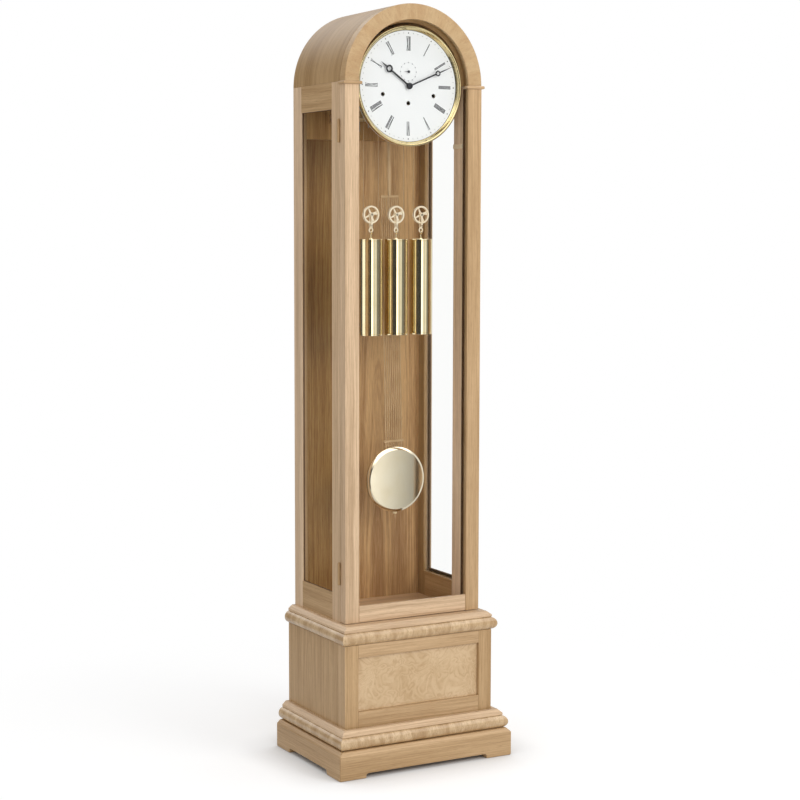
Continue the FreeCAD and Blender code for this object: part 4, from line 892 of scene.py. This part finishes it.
def dial_print():
    """Roman hours, minute dots, the seconds ring and a fine dark line at the edge, a painted shadow
    under the bezel.
    """
    ink = Piece("dial_print")
    for hour, word in enumerate(NUMERALS):
        start = -sum(LETTER_WIDTH[kind] for kind in word) / 2
        for kind in word:
            # strokes that cross end at different heights
            for index, stroke in enumerate(letter(kind, start)):
                lift = INK_HEIGHT * (1 + index * LIFT_SHARE)
                corners = [on_dial(hour * 30, NUMERAL_FOOT + up, across) for across, up in stroke]
                ink.prism(corners, DIAL_FACE, DIAL_FACE - lift)
            start += LETTER_WIDTH[kind]
    dots(ink, *MINUTE_DOTS)
    # The painted shadow under the bezel
    inner, outer = BEZEL_SHADOW_LINE
    ink.turned(oblong(inner, -INK_HEIGHT, outer, 0), on_axis(DIAL_FACE), Y, ARC_STEPS)
    ink.done("case", INK, "black_steel")
    grey = Piece("seconds_print")
    dots(grey, *SECOND_DOTS)
    grey.done("case", GREY_INK, "black_steel")


def dial():
    paint("dial_plate", ENAMEL)
    dial_print()
    rims = Piece("winding_hole_rims")
    section = rounded([(HOLE_RADIUS, HOLE_DEPTH), (HOLE_RADIUS, -HOLE_RISE), (HOLE_RIM, -HOLE_RISE),
                       (HOLE_RIM, 0)], HOLE_EDGE)
    for side in SIDES:
        drum = middle_of(side + "_drum")
        rims.turned(section, Vector((drum.x, DIAL_FACE, drum.z)), Y, SMALL_STEPS)
    rims.done("case", ENAMEL, "white_enamel")
    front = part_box("dial_bezel")[0].y - DIAL_FACE
    outline = [(DIAL_RADIUS, 0.0), (DIAL_RADIUS + 0.0002, -0.0012), (DIAL_RADIUS + 0.0009, -0.0016),
               (DIAL_RADIUS + 0.0058, front + BEZEL_NOSE * 1.15),
               (DIAL_RADIUS + 0.0062, front + BEZEL_NOSE * 0.75)]
    outline += arc((DIAL_EDGE - BEZEL_NOSE, front + BEZEL_NOSE), BEZEL_NOSE, -150, 0, 10)
    outline += [(DIAL_EDGE, 0.0)]
    bezel = Piece("dial_bezel_ring").turned(outline, on_axis(DIAL_FACE), Y, 2 * ARC_STEPS)
    bezel.done("case", GOLD, "polished_brass", "dial_bezel", smooth=math.radians(40))


# Hands

# Each hand's angle on the dial in degrees, and its sizes
HANDS = {
    "minute_hand": {"turn": 67.2, "hub": 0.0078, "ring_at": 0.091, "ring": 0.0075, "hole": 0.0042,
                    "shaft": 0.0019, "tip": 0.0017, "length": 0.137, "pipe": 0.0024},
    "hour_hand": {"turn": 305.6, "hub": 0.0085, "ring_at": 0.073, "ring": 0.01, "hole": 0.0056,
                  "shaft": 0.0023, "tip": 0.0026, "length": 0.102, "pipe": 0.0042},
}
HAND_THICKNESS = 0.0012
HAND_EDGE = 0.0003
HAND_POINT = 0.0004
EYE_RISE = 0.0002
HOUR_BORE = 0.00245
SECONDS_CAP = 0.0012
SECONDS_POINT = 0.0003
SECONDS_EDGE = 0.0002
SECONDS_SHAFT_TURN = 12


def hand_outline(hub, ring_at, ring, shaft, tip, length):
    """Right and left sides of a hand with a ring, from the foot of its hub."""
    foot = 90 - math.degrees(math.asin(shaft / hub))
    low = math.degrees(math.asin(shaft / ring))
    high = math.degrees(math.asin(tip / ring))
    sides = arc((0, 0), hub, -90, foot, 14)
    sides += arc((0, ring_at), ring, low - 90, 90 - high, 20)
    sides.append((HAND_POINT, length))
    return sides + [(-x, y) for x, y in reversed(sides[1:])]


def hand(name, turn, hole, pipe, **shape):
    """A blade with an open ring, and its boss and pipe on the arbor."""
    low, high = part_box(name)
    reach = high.y - low.y
    eye = circle((0, shape["ring_at"] + EYE_RISE), hole)
    middle = on_axis(low.y + HAND_THICKNESS / 2)
    piece = Piece(name + "_blade")
    piece.plate([hand_outline(**shape), eye], middle, HAND_THICKNESS, HAND_EDGE)
    if name == "minute_hand":
        boss = [(0, -0.0004), (0.003, 0), (0.0052, 0.0003), (0.0056, HAND_THICKNESS),
                (pipe, HAND_THICKNESS), (pipe, reach), (0, reach)]
    else:
        boss = [(HOUR_BORE, 0.0001), (pipe + 0.001, 0.0001), (pipe + 0.001, HAND_THICKNESS),
                (pipe, HAND_THICKNESS + 0.0004), (pipe, reach), (HOUR_BORE, reach)]
    piece.turned(boss, on_axis(low.y), Y, SMALL_STEPS)
    piece.turn(math.radians(turn), on_axis(0))
    piece.done(name, BLUED, "black_steel", name)


def hands():
    for name, sizes in HANDS.items():
        hand(name, **sizes)
    low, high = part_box("seconds_hand")
    pointer = arc((0, 0), high.x + SECONDS_CAP, 90 + SECONDS_SHAFT_TURN, 450 - SECONDS_SHAFT_TURN, 24)
    pointer.append((-SECONDS_POINT, -low.x))
    pointer = [(-y, x) for x, y in pointer]
    seconds = Piece("seconds_hand_blade")
    middle = on_axis((low.y + high.y) / 2, SECONDS_RISE)
    seconds.plate([pointer], middle, high.y - low.y, SECONDS_EDGE)
    seconds.done("seconds_train", BLUED, "black_steel", "seconds_hand")


# Weights, pulleys and cables

WEIGHT_HEIGHT = 0.255
CAP_HEIGHT = 0.004
LIP = 0.0006
FOOT_HOLLOW = 0.0012
TOP_HOLLOW = 0.0008
NECK_WIRE = 0.0015
HOOK_RING = 0.004
HOOK_WIRE = 0.0012
RIM_INNER = 0.0192
GROOVE = 0.003
HUB = 0.0052
WEB = 0.0032
SPOKES = 4
SPOKE_HALF = 0.0018
SPOKE_TURN = 25
AXLE = 0.002
AXLE_PLAY = 0.0001
ARM_PLATE = 0.0016
ARM_HEAD = 0.005
ARM_DROP = 0.0315
BRIDGE_DROP = 0.027
BRIDGE_HALF = 0.0025
BRIDGE_EDGE = 0.0006
PIN_HEAD = 0.0028
PIN_HEIGHT = 0.0012
LOOP = 0.007
LOOP_HOLE = 0.0036
LOOP_HOLE_TOP = 0.0111
LOOP_PLATE = 0.0024
CABLE_STEPS = 40
CABLE_BEND_STEPS = 24
CABLE_SIDES = 10


def weight_end(radius, ease):
    """The tube's section at one end, from the end inwards: its cap's rim and the groove behind it."""
    return [(radius * 0.9, 0), (radius - ease, 0), (radius - 0.0004, 0.0005), (radius, 0.0015),
            (radius, CAP_HEIGHT), (radius - LIP, CAP_HEIGHT + LIP), (radius - LIP, CAP_HEIGHT + 2 * LIP),
            (radius, CAP_HEIGHT + 3 * LIP)]


def weight(side):
    """A polished brass tube with turned caps, and the hook on top of it."""
    node = side + "_weight"
    low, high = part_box(node)
    radius = half_of(node).x
    top = WEIGHT_HEIGHT
    foot = Vector((*middle_of(node).xy, low.z))
    outline = [(0, FOOT_HOLLOW), (radius * 0.86, FOOT_HOLLOW)] + weight_end(radius, 0.0014)
    outline += [(out, top - up) for out, up in reversed(weight_end(radius, 0.0015))]
    outline += [(radius * 0.86, top - TOP_HOLLOW), (0.006, top - TOP_HOLLOW), (0.005, top + 0.002),
                (0.0026, top + 0.0026), (0, top + 0.0026)]
    shell = Piece(node + "_shell").turned(outline, foot, Z)
    ring_level = high.z - low.z - HOOK_RING - HOOK_WIRE
    neck_top = ring_level - HOOK_RING
    shell.turned(oblong(0, top, NECK_WIRE, neck_top), foot, Z, 16)
    wire = arc((HOOK_RING, 0), HOOK_WIRE, 0, 330, 11)
    shell.turned(wire, foot + Z * ring_level, X, 28)
    shell.done(node, POLISHED, "polished_brass", node)


def pulley(side):
    """A cast wheel: spokes cut out of its web, a bored hub and a grooved rim."""
    node = side + "_pulley"
    middle = middle_of(node)
    radius, half, _ = half_of(node)
    bore = AXLE + AXLE_PLAY
    rim = rounded([(RIM_INNER, -half), (radius, -half), (radius - GROOVE, -0.0004),
                   (radius - GROOVE, 0.0004), (radius, half), (RIM_INNER, half)], 0.0007)
    wheel = Piece(node + "_wheel").turned(rim, middle, Y, 72)
    outlines = [circle((0, 0), RIM_INNER + 0.0004, 72), circle((0, 0), bore, 24)]
    inner = math.degrees(math.asin(SPOKE_HALF * 1.25 / HUB))
    outer = math.degrees(math.asin(SPOKE_HALF * 0.85 / RIM_INNER))
    for index in range(SPOKES):
        first = SPOKE_TURN + index * 360 / SPOKES
        last = first + 360 / SPOKES
        window = arc((0, 0), RIM_INNER - 0.0002, first + outer, last - outer, 16)
        window += arc((0, 0), HUB + 0.001, last - inner, first + inner, 6)
        outlines.append(window)
    wheel.plate(outlines, middle, WEB)
    hub = rounded(oblong(bore, -half, HUB, half), 0.0005)
    wheel.turned(hub, middle, Y, 36)
    wheel.done(node, PALE, "satin_brass", node)


def stirrup(side):
    """Two arms beside the pulley, the axle, a bridge and the loop that carries the weight."""
    node = side + "_stirrup"
    wheel = middle_of(side + "_pulley")
    half_depth = half_of(node).y
    piece = Piece(node + "_frame")
    arm = arc((0, 0), ARM_HEAD, -50, 230, 20)
    arm += [(-0.0021, -0.012), (-0.0026, -ARM_DROP), (0.0026, -ARM_DROP), (0.0021, -0.012)]
    for face in (-1, 1):
        piece.plate([arm], wheel + Y * face * (half_depth - ARM_PLATE / 2), ARM_PLATE)
        head = [(0, 0), (PIN_HEAD - 0.0006, 0), (PIN_HEAD, 0.0005), (PIN_HEAD, PIN_HEIGHT),
                (0, PIN_HEIGHT)]
        pin = wheel + Y * face * (half_depth - PIN_HEIGHT)
        piece.turned([(out, face * up) for out, up in head], pin, Y, 20)
    piece.turned(oblong(0, -half_depth, AXLE, half_depth), wheel, Y, 24)
    block = rounded(oblong(-half_depth, -BRIDGE_HALF, half_depth, BRIDGE_HALF), BRIDGE_EDGE)
    bridge = wheel.z - BRIDGE_DROP
    rows = []
    for x, inset in ((-BRIDGE_HALF, BRIDGE_EDGE), (BRIDGE_EDGE - BRIDGE_HALF, 0),
                     (BRIDGE_HALF - BRIDGE_EDGE, 0), (BRIDGE_HALF, BRIDGE_EDGE)):
        rows.append(piece.row((wheel.x + x, wheel.y + p.x * (1 - inset / half_depth),
                               bridge - BRIDGE_HALF + p.y * (1 - inset / BRIDGE_HALF))
                              for p in block))
    piece.sheath(rows)
    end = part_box(node)[0].z - wheel.z
    foot = (0, end + LOOP)
    shoulder = -BRIDGE_DROP - BRIDGE_HALF
    hole_top = end + LOOP_HOLE_TOP
    drop = [(0.0024, shoulder), *arc(foot, LOOP, 8, -188, 28), (-0.0024, shoulder)]
    hole = [(0.0003, hole_top), *arc(foot, LOOP_HOLE, 10, -190, 22), (-0.0003, hole_top)]
    piece.plate([drop, hole], wheel, LOOP_PLATE, edge=0.0007)
    piece.done(side + "_weight", PALE, "satin_brass", node)


def cable(side):
    """The cable's two runs and its bend, whose upper ends stay with the case."""
    node = side + "_cable"
    wheel = middle_of(side + "_pulley")
    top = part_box(node)[1].z
    radius = half_of(node).y
    reach = half_of(node).x - radius
    climb = (top - wheel.z) / CABLE_STEPS
    path = [wheel - X * reach + Z * climb * step for step in range(CABLE_STEPS, 0, -1)]
    for step in range(CABLE_BEND_STEPS + 1):
        angle = math.pi * step / CABLE_BEND_STEPS
        path.append(wheel - X * reach * math.cos(angle) - Z * reach * math.sin(angle))
    path += [wheel + X * reach + Z * climb * step for step in range(1, CABLE_STEPS + 1)]
    piece = Piece(node + "_wire")
    rows = []
    for index, point in enumerate(path):
        before = path[max(index - 1, 0)]
        after = path[min(index + 1, len(path) - 1)]
        out = (after - before).normalized().cross(Y)
        rows.append(piece.ring(point, out, Y, [radius] * CABLE_SIDES))
    piece.sheath(rows)
    made = piece.done(None, CABLE, "steel", node)
    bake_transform(made)


def weights():
    for side in SIDES:
        weight(side)
        stirrup(side)
        pulley(side)
        cable(side)


# Pendulum

BOB_DROP = 1.11
BOB_RADIUS = 0.089
BOB_EDGE = 0.0025
BOB_FRONT = 0.012
DOME_RADIUS = 0.0812
DOME_DEPTH = 0.0013
DOME_STEPS = 20
RIM_STEPS = 12
RIM_SLOPES = (30, 46)
COVER_INSET = 0.004
COVER_EDGE = 0.0006
NUT_RADIUS = 0.0055
NUT_HEIGHT = 0.006
NUT_EDGE = 0.0007
NUT_BORE = 0.00165
NUT_TEETH = 24
TOOTH_SHARE = 0.05


def bob():
    """A shallow domed disc with a steeper rim, and a cover on its back."""
    front = [(0, -BOB_FRONT)]
    for step in range(1, DOME_STEPS + 1):
        share = step / DOME_STEPS
        front.append((DOME_RADIUS * share, DOME_DEPTH * share ** 2 - BOB_FRONT))
    radius, level = front[-1]
    run = (BOB_RADIUS - 0.0002 - DOME_RADIUS) / RIM_STEPS
    first, last = RIM_SLOPES
    for step in range(RIM_STEPS):
        radius += run
        level += run * math.tan(math.radians(first + (last - first) * step / (RIM_STEPS - 1)))
        front.append((radius, level))
    front += [(BOB_RADIUS, level + 0.0006), (BOB_RADIUS, -0.0006), (BOB_RADIUS - 0.0006, 0), (0, 0)]
    centre = PIVOT - Z * BOB_DROP - Y * BOB_EDGE
    seat = BOB_EDGE * 2
    rim = BOB_RADIUS - COVER_INSET
    cover = [(0, seat), (rim, seat), (rim, seat + COVER_EDGE),
             (rim - COVER_EDGE, seat + 2 * COVER_EDGE), (0, seat + 2 * COVER_EDGE)]
    piece = Piece("pendulum_bob_lens")
    for outline in (front, cover):
        piece.turned(outline, centre, Y, ARC_STEPS)
    piece.turn(SWING, PIVOT)
    piece.done("pendulum", BOB, "polished_brass", "pendulum_bob", smooth=math.radians(20))


def rating_nut():
    """A knurled nut on the rod below the bob."""
    nut = Piece("rating_nut_knurled")
    foot = Vector((0, PIVOT.y, PIVOT.z - BOB_DROP - BOB_RADIUS - NUT_HEIGHT))
    rows = []
    for radius, up in ((NUT_RADIUS - NUT_EDGE, 0), (NUT_RADIUS, NUT_EDGE),
                       (NUT_RADIUS, NUT_HEIGHT - NUT_EDGE), (NUT_RADIUS - NUT_EDGE, NUT_HEIGHT)):
        teeth = [radius, radius * (1 - TOOTH_SHARE)] * NUT_TEETH
        rows.append(nut.ring(foot + Z * up, X, Y, teeth))
    for up in (NUT_HEIGHT, 0):
        rows.append(nut.ring(foot + Z * up, X, Y, [NUT_BORE] * 2 * NUT_TEETH))
    nut.sheath(rows + rows[:1], capped=False)
    nut.turn(SWING, PIVOT)
    nut.done("rating_nut", SATIN, "satin_brass", "rating_nut")


# Fittings and hidden works

FITTINGS = (
    (BRONZE, "satin_brass", ("hinge_case_leaves", "hinge_door_leaves", "hinge_pins")),
    (RODS, "satin_brass", ("pendulum_rods",)),
    (PALE, "satin_brass", ("door_catch",)),
    (SATIN, "satin_brass", ("movement_plates", "escape_wheel", "chime_hammers")),
    (DRUMS, "satin_brass", [side + "_drum" for side in SIDES]),
    (STEEL, "steel", ("anchor_and_crutch", "chime_rods")),
    (IRON, "cast_iron", ("chime_block",)),
    (GLASS, "clear_glass", ("door_glass", "side_glass_panes")),
)


def fittings():
    for material, slot, nodes in FITTINGS:
        for node in nodes:
            paint(node, material)


# Stage, lamps and camera

AMBIENT = 0.74

# What polished metal mirrors: levels by azimuth in degrees, 0 in front of the clock, + to its right
STUDIO = ((-180, 0.05), (-124, 0.05), (-116, 0.62), (-80, 0.62), (-72, 0.03), (-25, 0.02),
          (-21, 1.15), (-12, 1.1), (-7, 0.52), (0, 0.42), (8, 0.35), (16, 0.34), (22, 0.52), (24, 0.58),
          (29, 0.32), (33, 0.14), (44, 0.11), (58, 0.09), (76, 0.05), (90, 0.4), (130, 0.4), (150, 0.05))
STUDIO_LEVEL = 2.0
OVERHEAD = 1.0
OVERHEAD_RISE = (0.3, 0.6)
FLOOR_RADIUS = 6.0
FLOOR_LEVEL = -0.0005
FLOOR_GREY = (0.72, 0.72, 0.72, 1)
# The floor's glow, which fades out near the clock into a painted contact shadow
FLOOR_GLOW = 0.4
GLOW_REACH = 0.14
GLOW_RISE = (0.35, 1.0)
WHITE_FROM = (0.5, 1.5)
UNMIRRORED_FROM = (1.6, 1.9)


def world():
    surroundings = bpy.data.worlds.new("studio")
    bpy.context.scene.world = surroundings
    surroundings.use_nodes = True
    surroundings.node_tree.nodes.clear()
    tree = Nodes(surroundings.node_tree)
    lit = tree.add("Background", {0: WHITE, 1: AMBIENT})
    seen = tree.add("Background", {0: WHITE, 1: 1.0})
    x, y, z = tree.add("SeparateXYZ", {0: tree.add("TexCoord", {}).outputs["Generated"]}).outputs
    turn = tree.maths("ARCTAN2", x, tree.times(y, -1.0))
    share = tree.maths("MULTIPLY_ADD", turn, 1 / (2 * math.pi), 0.5)
    low, high = OVERHEAD_RISE
    overhead = tree.add("MapRange", {0: z, 1: low, 2: high, 3: 0.0, 4: OVERHEAD}).outputs[0]
    ramp = tree.add("ValToRGB", {0: share})
    stops = ramp.color_ramp.elements
    stops.remove(stops[1])
    for index, (degrees, level) in enumerate(STUDIO):
        place = (degrees + 180) / 360
        stop = stops.new(place) if index else stops[0]
        stop.position = place
        stop.color = (level, level, level, 1)
    level = tree.maths("MAXIMUM", ramp.outputs[0], overhead)
    room = tree.add("Background", {0: WHITE, 1: tree.times(level, STUDIO_LEVEL)})
    tree.add("OutputWorld", {0: tree.by_sight(lit.outputs[0], room.outputs[0], seen.outputs[0])})


def floor():
    """A pale floor that keeps the clock's soft shadow, darkened near the clock by a painted contact
    shadow where its glow fades out, and turns plain white away from it.
    """
    tree = Tree("studio_floor", Roughness=0.9, Specular_IOR_Level=0.0, Base_Color=FLOOR_GREY)
    matt = tree.surface.outputs[0]
    # Painted shadow: the glow fades out near the clock, darkening the floor there
    open_sky = tree.add("AmbientOcclusion", {"Distance": GLOW_REACH}).outputs["AO"]
    glow = tree.add("Emission", {1: tree.remap(open_sky, *GLOW_RISE, 0.0, FLOOR_GLOW)})
    glowing = tree.add("AddShader", {0: matt, 1: glow.outputs[0]}).outputs[0]
    white = tree.add("Emission", {}).outputs[0]
    clear = tree.add("BsdfTransparent", {}).outputs[0]
    distance = tree.add("VectorMath", {0: tree.place()}, operation="LENGTH").outputs["Value"]
    seen = tree.fade(tree.remap(distance, *WHITE_FROM), glowing, white)
    mirrored = tree.fade(tree.remap(distance, *UNMIRRORED_FROM), matt, clear)
    tree.show(tree.by_sight(matt, mirrored, seen))
    plane = Piece("studio_floor")
    bmesh.ops.create_circle(plane.mesh, cap_ends=True, segments=TURNED_STEPS, radius=FLOOR_RADIUS)
    stage = plane.built(tree.material)
    stage.location.z = FLOOR_LEVEL


def aim(thing, place, forward):
    """Put a lamp or the camera at its place, looking forward."""
    thing.location = place
    thing.rotation_mode = "QUATERNION"
    thing.rotation_quaternion = forward.to_track_quat("-Z", "Y")
    bpy.context.scene.collection.objects.link(thing)


def lamp(name, place, target, size, watts):
    data = bpy.data.lights.new(name, "AREA")
    data.shape = "DISK"
    data.size = size
    data.energy = watts
    thing = bpy.data.objects.new(name, data)
    thing.visible_glossy = False
    thing.visible_transmission = False
    aim(thing, place, Vector(target) - Vector(place))


def lamps():
    lamp("key_lamp", (1.5, -3.4, 2.5), (0, 0, 1.0), 1.8, 50)
    lamp("front_lamp", (-1.2, -4.2, 1.8), (0, 0, 0.9), 2.4, 22)


# The camera that was fitted to the photograph's 800 by 800 pixels
FOCAL_PIXELS = 1799.3
FRAME_PIXELS = 800
FRAME_SHIFT = 0.05
CAMERA_PLACE = (-2.355149, -4.198757, 1.426786)
CAMERA_YAW = math.radians(28.21411)
CAMERA_PITCH = math.radians(5.50660)
SENSOR = 36.0
CLIP_START = 0.05
CLIP_END = 100


def camera():
    data = bpy.data.cameras.new("photo_camera")
    data.sensor_width = SENSOR
    data.lens = FOCAL_PIXELS * SENSOR / FRAME_PIXELS
    data.shift_x = FRAME_SHIFT
    data.clip_start = CLIP_START
    data.clip_end = CLIP_END
    thing = bpy.data.objects.new("photo_camera", data)
    level = math.cos(CAMERA_PITCH)
    aim(thing, CAMERA_PLACE, Vector((math.sin(CAMERA_YAW) * level, math.cos(CAMERA_YAW) * level,
                                     -math.sin(CAMERA_PITCH))))
    bpy.context.scene.camera = thing
    bpy.context.scene.view_settings.view_transform = "Standard"


case_woodwork()
arched_woodwork()
seals_and_painted_shade()
dial()
hands()
weights()
bob()
rating_nut()
fittings()
world()
floor()
lamps()
camera()
